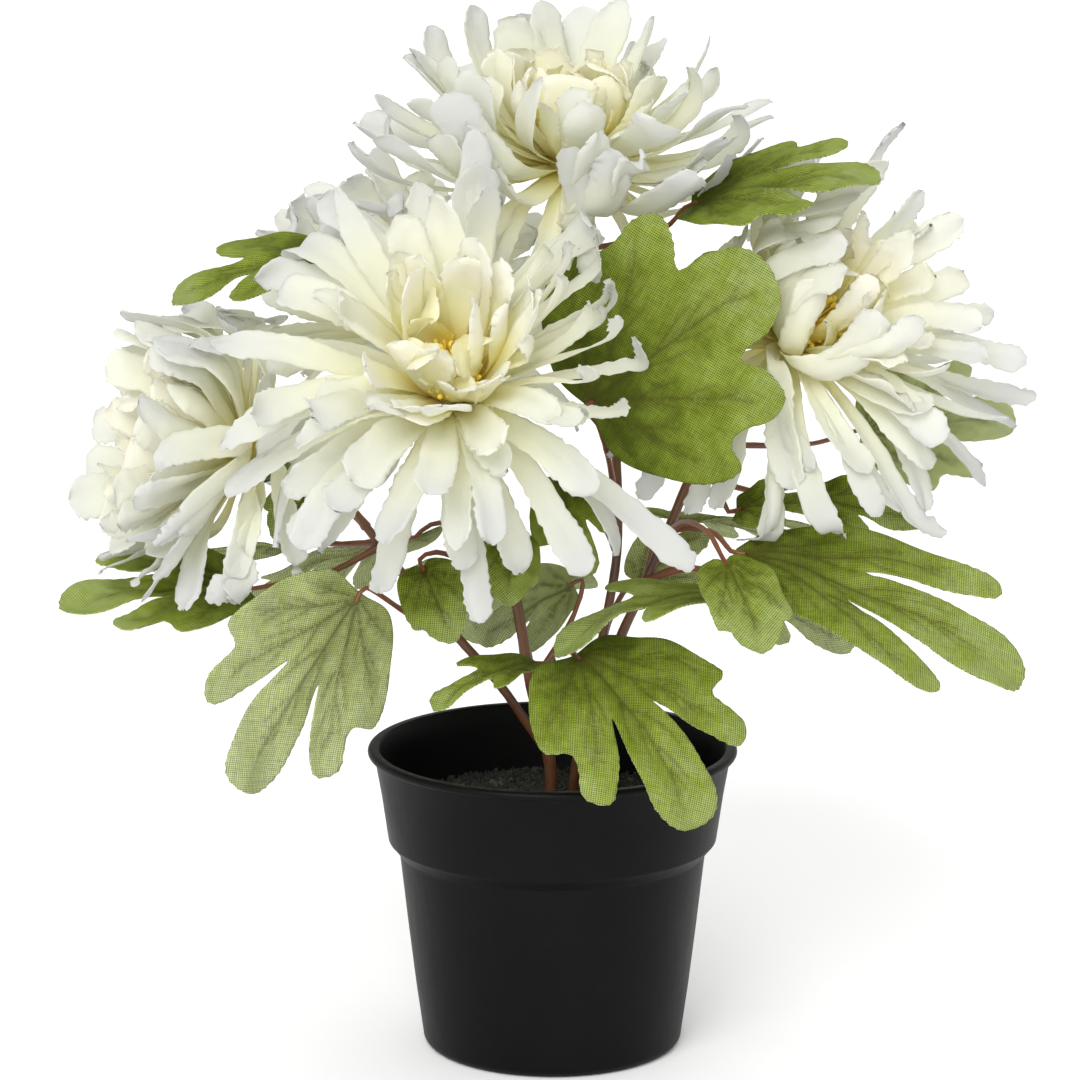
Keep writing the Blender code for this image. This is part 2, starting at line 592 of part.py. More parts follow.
def make_petals(head, collection, material):
    """All petals of a head fused to its core in one node."""
    name = "head_" + head + "_petals"
    planes = head_splits(head)
    pieces = bpy.data.collections.new(name + "_pieces")
    bpy.context.scene.collection.children.link(pieces)
    for i, petal in enumerate(ring_petals(head)):
        make_petal("%s_%02d" % (name, i), head, petal, planes, pieces)
    bm = bmesh.new()
    bmesh.ops.create_cone(bm, cap_ends=True, segments=CORE_SIDES, radius1=CORE_FOOT_RADIUS,
                          radius2=CORE_TOP_RADIUS, depth=CORE_HEIGHT)
    bmesh.ops.translate(bm, vec=(0.0, 0.0, CORE_HEIGHT / 2), verts=bm.verts)
    to_head(bm, head)
    core = new_object(name + "_core", mesh_from(bm, name + "_core"), collection)
    fused = fuse(name, core, pieces, collection, "MANIFOLD")
    fused.data.materials.append(material)


def make_tuft(head, collection, material):
    """The yellow tuft in the heart: a low button with leaning stamens, fused."""
    name = "head_" + head + "_tuft"
    pieces = bpy.data.collections.new(name + "_pieces")
    bpy.context.scene.collection.children.link(pieces)
    seat = CORE_HEIGHT + GAP
    for i in range(STAMENS):
        angle = 2 * math.pi * i / STAMENS
        beside = Vector((math.cos(angle), math.sin(angle), 0.0))
        lean = UP.rotation_difference(UP + beside * STAMEN_LEAN)
        bm = bmesh.new()
        bmesh.ops.create_cone(bm, cap_ends=True, segments=3, radius1=STAMEN_RADII[0], radius2=STAMEN_RADII[1],
                              depth=STAMEN_LENGTH)
        for vert in bm.verts:
            upright = vert.co + UP * STAMEN_LENGTH / 2
            vert.co = lean @ upright + beside * STAMEN_PLACE + UP * (seat + STAMEN_FOOT)
        to_head(bm, head)
        new_object(name + "_%d" % i, mesh_from(bm, name + "_%d" % i), pieces)
    bm = bmesh.new()
    bmesh.ops.create_cone(bm, cap_ends=True, segments=TUFT_SIDES, radius1=TUFT_RADIUS,
                          radius2=TUFT_RADIUS * 0.6, depth=TUFT_HEIGHT)
    bmesh.ops.translate(bm, vec=(0.0, 0.0, seat + TUFT_HEIGHT / 2), verts=bm.verts)
    to_head(bm, head)
    button = new_object(name + "_button", mesh_from(bm, name + "_button"), collection)
    fused = fuse(name, button, pieces, collection)
    fused.data.materials.append(material)


def make_cup(head, collection, material):
    """The green cup under a head, turned, with the stem's end at its foot."""
    foot, right, upper, axis = head_frame(head)
    top = -GAP
    profile = [(0.0, top), (CUP_RADIUS, top), (CUP_RADIUS, top - CUP_LIP)]
    profile += [(CUP_RADIUS * 0.72, top - CUP_DEPTH * 0.36), (CUP_FOOT_RADIUS * 1.15, top - CUP_DEPTH * 0.72)]
    profile += [(CUP_FOOT_RADIUS, -CUP_DEPTH), (0.0, -CUP_DEPTH)]
    cup = turned("head_" + head + "_cup", profile, CUP_STEPS, collection)
    cup.location = foot * MM
    cup.rotation_mode = "QUATERNION"
    cup.rotation_quaternion = UP.rotation_difference(axis)
    cup.data.materials.append(material)


def head_stem_end(head):
    """The last two points of a head's stem: a straight lead and the cup's foot."""
    foot, right, upper, axis = head_frame(head)
    end = foot - axis * (CUP_DEPTH + GAP)
    return end - axis * CUP_LEAD, end


def stem_paths():
    """Every stem of each group as (radius, smooth path); a head's stem ends at its cup."""
    paths = {"left": [], "right": []}
    for group, radius, head, points in STEMS:
        paths[group].append((radius, smooth_path(list(points) + list(head_stem_end(head)), STEM_STEP)))
    return paths


def nearest_on(paths, point):
    """The point nearest to a given one on any stem of a group."""
    best = None
    for radius, path in paths:
        for start, end in zip(path, path[1:]):
            near, share = geometry.intersect_point_line(point, start, end)
            near = start.lerp(end, min(max(share, 0.0), 1.0))
            if best is None or (near - point).length < (best - point).length:
                best = near
    return best


def leaf_frame(leaf):
    """A leaf's root, its way out, its side, its upper normal, its length and its droop in radians."""
    root, tip, facing = Vector(leaf["root"]), Vector(leaf["tip"]), Vector(leaf["facing"])
    chord = (tip - root).normalized()
    normal = (facing - chord * facing.dot(chord)).normalized()
    half = math.radians(leaf["droop"]) / 2
    along = chord * math.cos(half) + normal * math.sin(half)
    upper = normal * math.cos(half) - chord * math.sin(half)
    return root, along, upper.cross(along), upper, (tip - root).length * half / math.sin(half), 2 * half


def leaf_point(leaf, x, y):
    """A point of the flat leaf, in shares of its length, carried to its drooping, folded place."""
    root, along, side, upper, length, droop = leaf_frame(leaf)
    bend = droop * x
    spine = root + (along * math.sin(bend) - upper * (1 - math.cos(bend))) * length / droop
    normal = upper * math.cos(bend) + along * math.sin(bend)
    fold = math.radians(LEAF_FOLD)
    lift = abs(y) * math.sin(fold) - LEAF_SIDE_DROOP * y * y + LEAF_WAVE * math.sin(11.0 * x + 17.0 * y)
    return spine + side * (y * length * math.cos(fold)) + normal * (lift * length)


def leaf_outline(form):
    """The lobed outline from the root's right, round the tip, to the root's left."""
    half = [(math.radians(angle), radius) for angle, radius in LEAF_FORMS[form][0]]
    right = [(radius * math.cos(angle), -radius * math.sin(angle)) for angle, radius in reversed(half)]
    left = [(x, -y) for x, y in reversed(right[:-1])]
    return right + left


def make_leaf(leaf, collection, material):
    """One leaf: its lobed outline filled with triangles, bent to its place, and given a wall."""
    outline = leaf_outline(leaf["form"])
    inside = []
    for angle, radius in LEAF_FORMS[leaf["form"]][1]:
        inside.append((radius * math.cos(math.radians(angle)), radius * math.sin(math.radians(angle))))
    points = [Vector(p) for p in outline + inside]
    edges = [(i, (i + 1) % len(outline)) for i in range(len(outline))]
    flat = geometry.delaunay_2d_cdt(points, edges, [], 1, 1e-6)
    bm = bmesh.new()
    verts = [bm.verts.new(leaf_point(leaf, p.x, p.y)) for p in flat[0]]
    for face in flat[2]:
        bm.faces.new([verts[i] for i in face])
    name = "leaf_" + leaf["name"]
    thing = new_object(name, mesh_from(bm, name), collection)
    wall = thing.modifiers.new("wall", "SOLIDIFY")
    wall.thickness = LEAF_THICKNESS * MM
    wall.offset = 0.0
    thing.data.materials.append(material)


def make_stems(collection, material):
    """Each group of stems with its stalks, fused in one node from plain tubes."""
    paths = stem_paths()
    for group, stems in paths.items():
        name = "stem_" + group
        pieces = bpy.data.collections.new(name + "_pieces")
        bpy.context.scene.collection.children.link(pieces)
        for i, (radius, path) in enumerate(stems[1:]):
            tube("%s_branch_%d" % (name, i), path, radius, radius, STEM_RESOLUTION, pieces)
        for leaf in LEAVES:
            if leaf["stem"] != group:
                continue
            root, along = leaf_frame(leaf)[:2]
            stalk = [Vector(p) for p in leaf["stalk"]]
            stalk[0] = nearest_on(stems, stalk[0])
            back = (root - leaf_point(leaf, *leaf_outline(leaf["form"])[0])).dot(along)
            end = root - along * (back + STALK_GAP)
            stalk += [end - along * STALK_LEAD, end]
            tube("%s_to_%s" % (name, leaf["name"]), smooth_path(stalk, STALK_STEP), STALK_FOOT_RADIUS,
                 STALK_TIP_RADIUS, STALK_RESOLUTION, pieces)
        main_radius, main_path = stems[0]
        base = tube(name + "_main", main_path, main_radius, BRANCH_RADIUS, STEM_RESOLUTION, collection)
        fused = fuse(name, base, pieces, collection)
        fused.data.materials.append(material)


def main():
    """Clears the scene and builds every sub-part."""
    for thing in list(bpy.data.objects):
        bpy.data.objects.remove(thing)
    plant = bpy.data.collections.new("pot_chrysanthemum")
    bpy.context.scene.collection.children.link(plant)
    make_pot(plant, new_material("pot_plastic", (0.012, 0.012, 0.013), 0.5))
    make_filling(plant, new_material("filling_granules", (0.012, 0.011, 0.010), 0.95))
    make_stems(plant, new_material("stem_plastic", (0.17, 0.06, 0.02), 0.5))
    leaf_green = new_material("leaf_fabric", (0.17, 0.29, 0.04), 0.75)
    for leaf in LEAVES:
        make_leaf(leaf, plant, leaf_green)
    petal = new_material("petal_fabric", (0.86, 0.86, 0.74), 0.8)
    yellow = new_material("stamen_plastic", (0.86, 0.58, 0.05), 0.6)
    green = new_material("cup_plastic", (0.12, 0.24, 0.05), 0.6)
    for head in HEADS:
        make_petals(head, plant, petal)
        make_tuft(head, plant, yellow)
        make_cup(head, plant, green)


main()
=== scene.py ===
import math
import random

import bmesh
import bpy
import numpy as np
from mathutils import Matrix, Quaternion, Vector, geometry


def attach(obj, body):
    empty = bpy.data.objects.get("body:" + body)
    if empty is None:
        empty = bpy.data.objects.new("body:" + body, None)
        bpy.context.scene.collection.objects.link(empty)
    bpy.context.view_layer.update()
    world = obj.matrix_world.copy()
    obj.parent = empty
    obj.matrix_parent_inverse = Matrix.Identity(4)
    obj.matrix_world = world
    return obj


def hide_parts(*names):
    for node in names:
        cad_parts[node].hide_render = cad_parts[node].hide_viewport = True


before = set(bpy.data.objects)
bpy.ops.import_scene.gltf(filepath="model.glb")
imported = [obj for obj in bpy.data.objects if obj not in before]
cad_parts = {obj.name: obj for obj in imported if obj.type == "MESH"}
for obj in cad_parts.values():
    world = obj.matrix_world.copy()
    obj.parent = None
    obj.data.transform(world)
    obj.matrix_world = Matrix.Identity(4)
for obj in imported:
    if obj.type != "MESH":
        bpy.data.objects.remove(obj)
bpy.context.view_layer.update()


# The view and the light: a camera a little above the blooms that looks down by twelve degrees, a broad soft
# light from the front and the upper left, a low one from the camera's side, a weaker one from behind that
# shines through the petals, and a pale floor under an even white sky.
CAMERA_TILT = 11.92
SKY_STRENGTH = 0.80
FLOOR_HALF_WIDTH = 12.0

scene = bpy.context.scene
camera_data = bpy.data.cameras.new("camera")
camera_data.lens = 145.1
camera_data.sensor_width = 36.0
camera_data.clip_end = 60.0
camera = bpy.data.objects.new("camera", camera_data)
camera.location = (-0.00405, -1.36981, 0.45676)
camera.rotation_euler = (math.radians(90.0 - CAMERA_TILT), 0.0, 0.0)
scene.collection.objects.link(camera)
scene.camera = camera
scene.view_settings.view_transform = "Standard"
scene.cycles.diffuse_bounces = 8


def broad_light(name, azimuth, elevation, spread, strength):
    """A very soft light from a direction, in degrees: azimuth 0 is the camera's side and 90 is the right."""
    data = bpy.data.lights.new(name, "SUN")
    data.angle = math.radians(spread)
    data.energy = strength
    light = bpy.data.objects.new(name, data)
    a, e = math.radians(azimuth), math.radians(elevation)
    towards = Vector((math.sin(a) * math.cos(e), -math.cos(a) * math.cos(e), math.sin(e)))
    light.rotation_euler = towards.to_track_quat("Z", "Y").to_euler()
    scene.collection.objects.link(light)


broad_light("front_light", -18.0, 38.0, 34.0, 1.65)
broad_light("back_light", 165.0, 55.0, 60.0, 0.50)
broad_light("low_light", -6.0, 18.0, 30.0, 0.85)
world = bpy.data.worlds.new("white_sky")
world.use_nodes = True
world.node_tree.nodes["Background"].inputs["Color"].default_value = (1.0, 1.0, 1.0, 1.0)
world.node_tree.nodes["Background"].inputs["Strength"].default_value = SKY_STRENGTH
scene.world = world


class Nodes:
    """A tree of nodes while it is made up."""

    def __init__(self, tree):
        self.tree = tree

    def feed(self, node, key, value):
        """Sets or links one input of a node."""
        if isinstance(value, bpy.types.NodeSocket):
            self.tree.links.new(value, node.inputs[key])
        else:
            node.inputs[key].default_value = value

    def add(self, kind, settings=None, output=0, **inputs):
        """Adds a node with its settings and its inputs, by name or number, and gives one of its outputs."""
        node = self.tree.nodes.new(kind)
        for key, value in (settings or {}).items():
            setattr(node, key, value)
        for key, value in inputs.items():
            self.feed(node, int(key[1:]) if key[1:].isdigit() else key.replace("_", " "), value)
        return node if output is None else node.outputs[output]

    def worked(self, operation, *values):
        """The result of one sum on the values."""
        numbered = {"i%d" % i: value for i, value in enumerate(values)}
        return self.add("ShaderNodeMath", {"operation": operation}, **numbered)

    def product(self, value, *others):
        """The values, multiplied one after another."""
        for other in others:
            value = self.worked("MULTIPLY", value, other)
        return value


class Paint(Nodes):
    """A plain material while it is made up."""

    def __init__(self, name):
        self.material = bpy.data.materials.new(name)
        self.material.use_nodes = True
        super().__init__(self.material.node_tree)
        self.shader = self.tree.nodes["Principled BSDF"]

    def show(self, **inputs):
        """Sets or links inputs of the shader."""
        for key, value in inputs.items():
            self.feed(self.shader, key.replace("_", " "), value)


paint = Paint("floor_paint")
grain = paint.add("ShaderNodeTexNoise", None, "Fac", Scale=3.0)
matt = paint.add("ShaderNodeMapRange", Value=grain, To_Min=0.85, To_Max=0.95)
paint.show(Base_Color=(0.98, 0.98, 0.98, 1.0), Specular_IOR_Level=0.1, Roughness=matt)
bm = bmesh.new()
bmesh.ops.create_grid(bm, x_segments=8, y_segments=8, size=FLOOR_HALF_WIDTH)
floor_mesh = bpy.data.meshes.new("floor")
bm.to_mesh(floor_mesh)
bm.free()
floor_mesh.materials.append(paint.material)
floor = bpy.data.objects.new("floor", floor_mesh)
scene.collection.objects.link(floor)


# The pot: one black polypropylene moulding with a rolled bead, a tapered band, a step, a tapered body and
# a closed base. It has the fine satin grain of its mould and a few rubbed places.
MM = 0.001
POT_HEIGHT = 99.5
RIM_RADIUS = 60.0
BEAD_HEIGHT = 2.6
BAND_TOP_RADIUS = 57.8
BAND_FOOT_RADIUS = 53.4
BAND_FOOT = 68.6
STEP_FOOT = 64.0
BODY_TOP_RADIUS = 49.8
BODY_FOOT_RADIUS = 42.4
CORNER_RADIUS = 3.4
POT_WALL = 1.5
BASE_THICKNESS = 3.0


def arc(centre, radius, start, end, count):
    """Points of an arc in the (radius, height) plane, with angles in degrees."""
    angles = [math.radians(start + (end - start) * i / count) for i in range(count + 1)]
    return [(centre[0] + radius * math.cos(a), centre[1] + radius * math.sin(a)) for a in angles]


def inner_radius(height):
    """Radius of the pot's inner wall at a height, along the body and then the band."""
    if height <= STEP_FOOT:
        return BODY_FOOT_RADIUS + height / STEP_FOOT * (BODY_TOP_RADIUS - BODY_FOOT_RADIUS) - POT_WALL
    share = (height - BAND_FOOT) / (POT_HEIGHT - BAND_FOOT)
    return max(BODY_TOP_RADIUS, BAND_FOOT_RADIUS + share * (BAND_TOP_RADIUS - BAND_FOOT_RADIUS)) - POT_WALL


def shown(name, mesh, material):
    """A smooth piece of the plant from a mesh whose place is in its points."""
    mesh.materials.clear()
    mesh.materials.append(material)
    mesh.polygons.foreach_set("use_smooth", [True] * len(mesh.polygons))
    piece = bpy.data.objects.new(name, mesh)
    scene.collection.objects.link(piece)
    return piece


def turned(name, profile, steps):
    """The mesh of a closed shape turned about Z; the profile runs down its outer side, in millimetres."""
    bm = bmesh.new()
    verts = [bm.verts.new((radius * MM, 0.0, height * MM)) for radius, height in profile]
    for a, b in zip(verts, verts[1:]):
        bm.edges.new((a, b))
    outline = bpy.data.meshes.new(name + "_outline")
    bm.to_mesh(outline)
    bm.free()
    blank = bpy.data.objects.new(name + "_blank", outline)
    scene.collection.objects.link(blank)
    screw = blank.modifiers.new("turn", "SCREW")
    screw.axis = "Z"
    screw.steps = steps
    screw.render_steps = steps
    screw.use_merge_vertices = True
    screw.merge_threshold = 0.00001
    mesh = bpy.data.meshes.new_from_object(blank.evaluated_get(bpy.context.evaluated_depsgraph_get()))
    bpy.data.objects.remove(blank)
    return mesh


class Finish(Paint):
    """A material whose colour and surface vary from place to place."""

    def relief(self, height, strength, distance):
        """Makes the surface rise and fall with a value."""
        self.show(Normal=self.add("ShaderNodeBump", Height=height, Strength=strength, Distance=distance))

    def place(self):
        """Places in the piece's own space."""
        return self.add("ShaderNodeTexCoord", output="Object")

    def read(self, name, output="Fac"):
        """A value that the mesh carries."""
        return self.add("ShaderNodeAttribute", {"attribute_name": name}, output)

    def noise(self, place, scale, detail, **inputs):
        """Soft random patches."""
        return self.add("ShaderNodeTexNoise", None, "Fac", Vector=place, Scale=scale, Detail=detail, **inputs)

    def stretched(self, place, *shares):
        """Places scaled by a share for each direction."""
        return self.add("ShaderNodeMapping", Vector=place, Scale=shares)

    def scaled(self, value, factor, offset):
        """A value times a factor, plus an offset."""
        return self.worked("MULTIPLY_ADD", value, factor, offset)

    def mixed(self, share, first, second, blend="MIX"):
        """A colour made of two others."""
        return self.add("ShaderNodeMix", {"data_type": "RGBA", "blend_type": blend}, 2,
                        Factor=share, i6=first, i7=second)

    def ramp(self, factor, *stops):
        """A colour that runs through (place, colour) stops."""
        node = self.add("ShaderNodeValToRGB", output=None, Fac=factor)
        elements = node.color_ramp.elements
        while len(elements) > 1:
            elements.remove(elements[-1])
        elements[0].position, elements[0].color = stops[0][0], (*stops[0][1], 1.0)
        for place, colour in stops[1:]:
            elements.new(place).color = (*colour, 1.0)
        return node.outputs["Color"]


bead = BEAD_HEIGHT / 2
profile = [(0.0, BASE_THICKNESS), (20.0, BASE_THICKNESS)]
profile += arc((inner_radius(7.0) - 4.0, BASE_THICKNESS + 4.0), 4.0, -90, 0, 6)
profile += [(inner_radius(z), z) for z in (20.0, 40.0, STEP_FOOT, BAND_FOOT, 80.0, 92.0, POT_HEIGHT - 0.7)]
profile += arc((inner_radius(POT_HEIGHT) + 0.7, POT_HEIGHT - 0.7), 0.7, 180, 90, 4)[1:]
profile += arc((RIM_RADIUS - bead, POT_HEIGHT - bead), bead, 90, -80, 12)
profile += [(BAND_TOP_RADIUS + 0.25, POT_HEIGHT - BEAD_HEIGHT - 0.15)]
profile += [(BAND_TOP_RADIUS - 0.1, POT_HEIGHT - BEAD_HEIGHT - 0.9)]
profile += [(BAND_FOOT_RADIUS + 2.2, 84.0), (BAND_FOOT_RADIUS + 0.25, BAND_FOOT + 1.8)]
profile += arc((BAND_FOOT_RADIUS - 1.4, BAND_FOOT + 0.9), 1.5, 0, -62, 5)
profile += arc((BODY_TOP_RADIUS + 1.5, STEP_FOOT + 0.1), 1.5, 118, 182, 4)
profile += [(BODY_TOP_RADIUS - 0.35, STEP_FOOT - 3.0), (47.1, 40.0), (44.7, 20.0)]
profile += arc((BODY_FOOT_RADIUS - CORNER_RADIUS, CORNER_RADIUS), CORNER_RADIUS, 0, -90, 8)
profile += [(20.0, 0.0), (0.0, 0.0)]

finish = Finish("pot_plastic")
place = finish.place()
cloud = finish.noise(place, 28.0, 5.0, Roughness=0.6)
mould = finish.noise(place, 1500.0, 2.0)
streaks = finish.noise(finish.stretched(place, 520.0, 520.0, 14.0), 1.0, 3.0)
finish.show(Base_Color=finish.ramp(cloud, (0.3, (0.0012, 0.0012, 0.0013)), (0.7, (0.0026, 0.0026, 0.0028))),
            Roughness=finish.scaled(streaks, 0.12, finish.scaled(cloud, 0.22, 0.30)), Specular_IOR_Level=0.11)
finish.relief(finish.scaled(streaks, 0.5, mould), 0.25, 0.00012)

pot = shown("pot_moulding", turned("pot_moulding", profile, 144), finish.material)
pot.data.set_sharp_from_angle(angle=math.radians(50))
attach(pot, "root")
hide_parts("pot")


# The filling: a firm dark block with a top of loose dark granules, a few of them paler. The block is the
# solid itself; the granules are strewn on its top.
FILLING_TOP = 78.0


class Grower(Nodes):
    """A tree that grows a piece from a guide mesh, with named inputs for its sizes."""

    def __init__(self, name, *sizes):
        super().__init__(bpy.data.node_groups.new(name, "GeometryNodeTree"))
        for label, kind in (("Geometry", "Geometry"), *sizes, ("Material", "Material")):
            self.tree.interface.new_socket(label, in_out="INPUT", socket_type="NodeSocket" + kind)
        self.tree.interface.new_socket("Geometry", in_out="OUTPUT", socket_type="NodeSocketGeometry")
        self.given = self.tree.nodes.new("NodeGroupInput").outputs

    def read(self, name, kind="FLOAT"):
        """A value that the guide mesh carries."""
        return self.add("GeometryNodeInputNamedAttribute", {"data_type": kind}, "Attribute", Name=name)

    def vector(self, operation, first, **second):
        """The result of one sum on vectors."""
        return self.add("ShaderNodeVectorMath", {"operation": operation}, i0=first, **second)

    def close(self, shape):
        """Ends the tree in a real mesh with its material."""
        real = self.add("GeometryNodeRealizeInstances", Geometry=shape)
        painted = self.add("GeometryNodeSetMaterial", Geometry=real, Material=self.given["Material"])
        self.tree.links.new(painted, self.tree.nodes.new("NodeGroupOutput").inputs[0])

    def grow(self, name, guide_mesh, material, sizes):
        """The piece that grows from a guide mesh, as a plain smooth mesh."""
        guide = bpy.data.objects.new(name + "_guide", guide_mesh)
        scene.collection.objects.link(guide)
        modifier = guide.modifiers.new("grow", "NODES")
        modifier.node_group = self.tree
        values = {**sizes, "Material": material}
        for socket in self.tree.interface.items_tree:
            if socket.in_out == "INPUT" and socket.name in values:
                modifier[socket.identifier] = values[socket.name]
        mesh = bpy.data.meshes.new_from_object(guide.evaluated_get(bpy.context.evaluated_depsgraph_get()))
        bpy.data.objects.remove(guide)
        mesh.name = name
        return shown(name, mesh, material)


finish = Finish("filling_granules")
place = finish.place()
cells = finish.add("ShaderNodeTexVoronoi", None, "Color", Vector=place, Scale=520.0)
dust = finish.noise(place, 160.0, 6.0)
speck = finish.ramp(finish.scaled(cells, 0.55, dust), (0.35, (0.004, 0.004, 0.004)),
                    (0.75, (0.013, 0.012, 0.011)), (0.98, (0.03, 0.028, 0.024)), (1.0, (0.07, 0.065, 0.055)))
finish.show(Base_Color=speck, Roughness=finish.scaled(dust, 0.25, 0.68))
finish.relief(dust, 0.8, 0.0006)

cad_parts["filling"].material_slots[0].material = finish.material

strewing = Grower("strewn_granules", ("Granules per square metre", "Float"), ("Granule radius", "Float"),
                  ("Seed", "Int"))
points = strewing.add("GeometryNodeDistributePointsOnFaces", None, "Points", Mesh=strewing.given["Geometry"],
                      Density=strewing.given["Granules per square metre"], Seed=strewing.given["Seed"])
ball = strewing.add("GeometryNodeMeshIcoSphere", None, "Mesh", Radius=strewing.given["Granule radius"],
                    Subdivisions=1)
turn = strewing.add("FunctionNodeRandomValue", {"data_type": "FLOAT_VECTOR"}, Seed=7, Max=(6.28, 6.28, 6.28))
size = strewing.add("FunctionNodeRandomValue", {"data_type": "FLOAT_VECTOR"}, Seed=9,
                    Min=(0.55, 0.45, 0.4), Max=(1.35, 1.1, 0.95))
strewing.close(strewing.add("GeometryNodeInstanceOnPoints", None, "Instances", Points=points, Instance=ball,
                            Rotation=turn, Scale=size))

bm = bmesh.new()
bmesh.ops.create_circle(bm, cap_ends=True, segments=64, radius=(inner_radius(FILLING_TOP) - 1.3) * MM)
bmesh.ops.translate(bm, vec=(0.0, 0.0, (FILLING_TOP + 0.15) * MM), verts=bm.verts)
bed = bpy.data.meshes.new("granule_bed")
bm.to_mesh(bed)
bm.free()
granules = strewing.grow("loose_granules", bed, finish.material, {
    "Granules per square metre": 420000.0, "Granule radius": 0.00095, "Seed": 5})
granules.data.polygons.foreach_set("use_smooth", [False] * len(granules.data.polygons))
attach(granules, "root")


# The stems: two main stems of brown moulded plastic that fork to the blooms, and the thinner reddish stalks
# of the leaves. Each part is a round rod that tapers and swells a little where another one leaves it.
UP = Vector((0.0, 0.0, 1.0))
LEFT_ROOT = (-0.6, 0.0)
RIGHT_ROOT = (6.6, 0.8)
STEM_ROOT = 36.3
CUP_DEPTH = 14.0
CUP_LEAD = 11.0
GAP = 0.3
HEADS = {
    "front": {"foot": (-31.0, -48.0, 222.0), "facing": (-0.05, -0.74, 0.67), "reach": 77.0, "seed": 11},
    "top": {"foot": (5.0, 22.0, 283.5), "facing": (0.05, -0.25, 0.97), "reach": 67.0, "seed": 23},
    "right": {"foot": (76.0, 2.0, 231.0), "facing": (0.30, -0.72, 0.62), "reach": 73.0, "seed": 37},
    "left": {"foot": (-96.0, -8.0, 196.0), "facing": (-0.88, -0.30, 0.36), "reach": 66.0, "seed": 47},
    "back": {"foot": (-42.0, 62.0, 222.0), "facing": (-0.35, 0.76, 0.55), "reach": 70.0, "seed": 59},
}
STEMS = (
    ("left", 2.1, 1.5, "front", (
        (*LEFT_ROOT, STEM_ROOT), (*LEFT_ROOT, 58.0), (*LEFT_ROOT, 79.0), (-1.0, 0.0, 96.0),
        (-7.0, -2.0, 120.0), (-12.0, -5.0, 150.0), (-19.0, -8.0, 177.0))),
    ("left", 1.5, 1.5, "left", (
        (-1.0, 0.0, 96.0), (-16.0, -3.0, 119.0), (-25.0, -4.0, 130.0), (-44.0, -4.0, 152.0),
        (-60.0, 0.0, 172.0))),
    ("left", 1.5, 1.5, "back", (
        (-0.8, 0.0, 90.0), (-7.0, 10.0, 122.0), (-17.0, 24.0, 160.0), (-29.0, 38.0, 193.0))),
    ("right", 1.75, 1.5, "right", (
        (*RIGHT_ROOT, STEM_ROOT), (*RIGHT_ROOT, 58.0), (*RIGHT_ROOT, 79.0), (7.2, 0.7, 90.0),
        (12.5, 0.5, 115.0), (20.2, 2.0, 131.0), (30.2, 5.0, 153.0), (37.0, 6.0, 169.0),
        (50.0, 10.0, 197.0))),
    ("right", 1.5, 1.5, "top", (
        (10.0, 0.7, 103.0), (15.0, 4.0, 128.0), (20.5, 8.0, 158.0), (20.0, 16.0, 200.0),
        (12.0, 25.0, 240.0))),
)


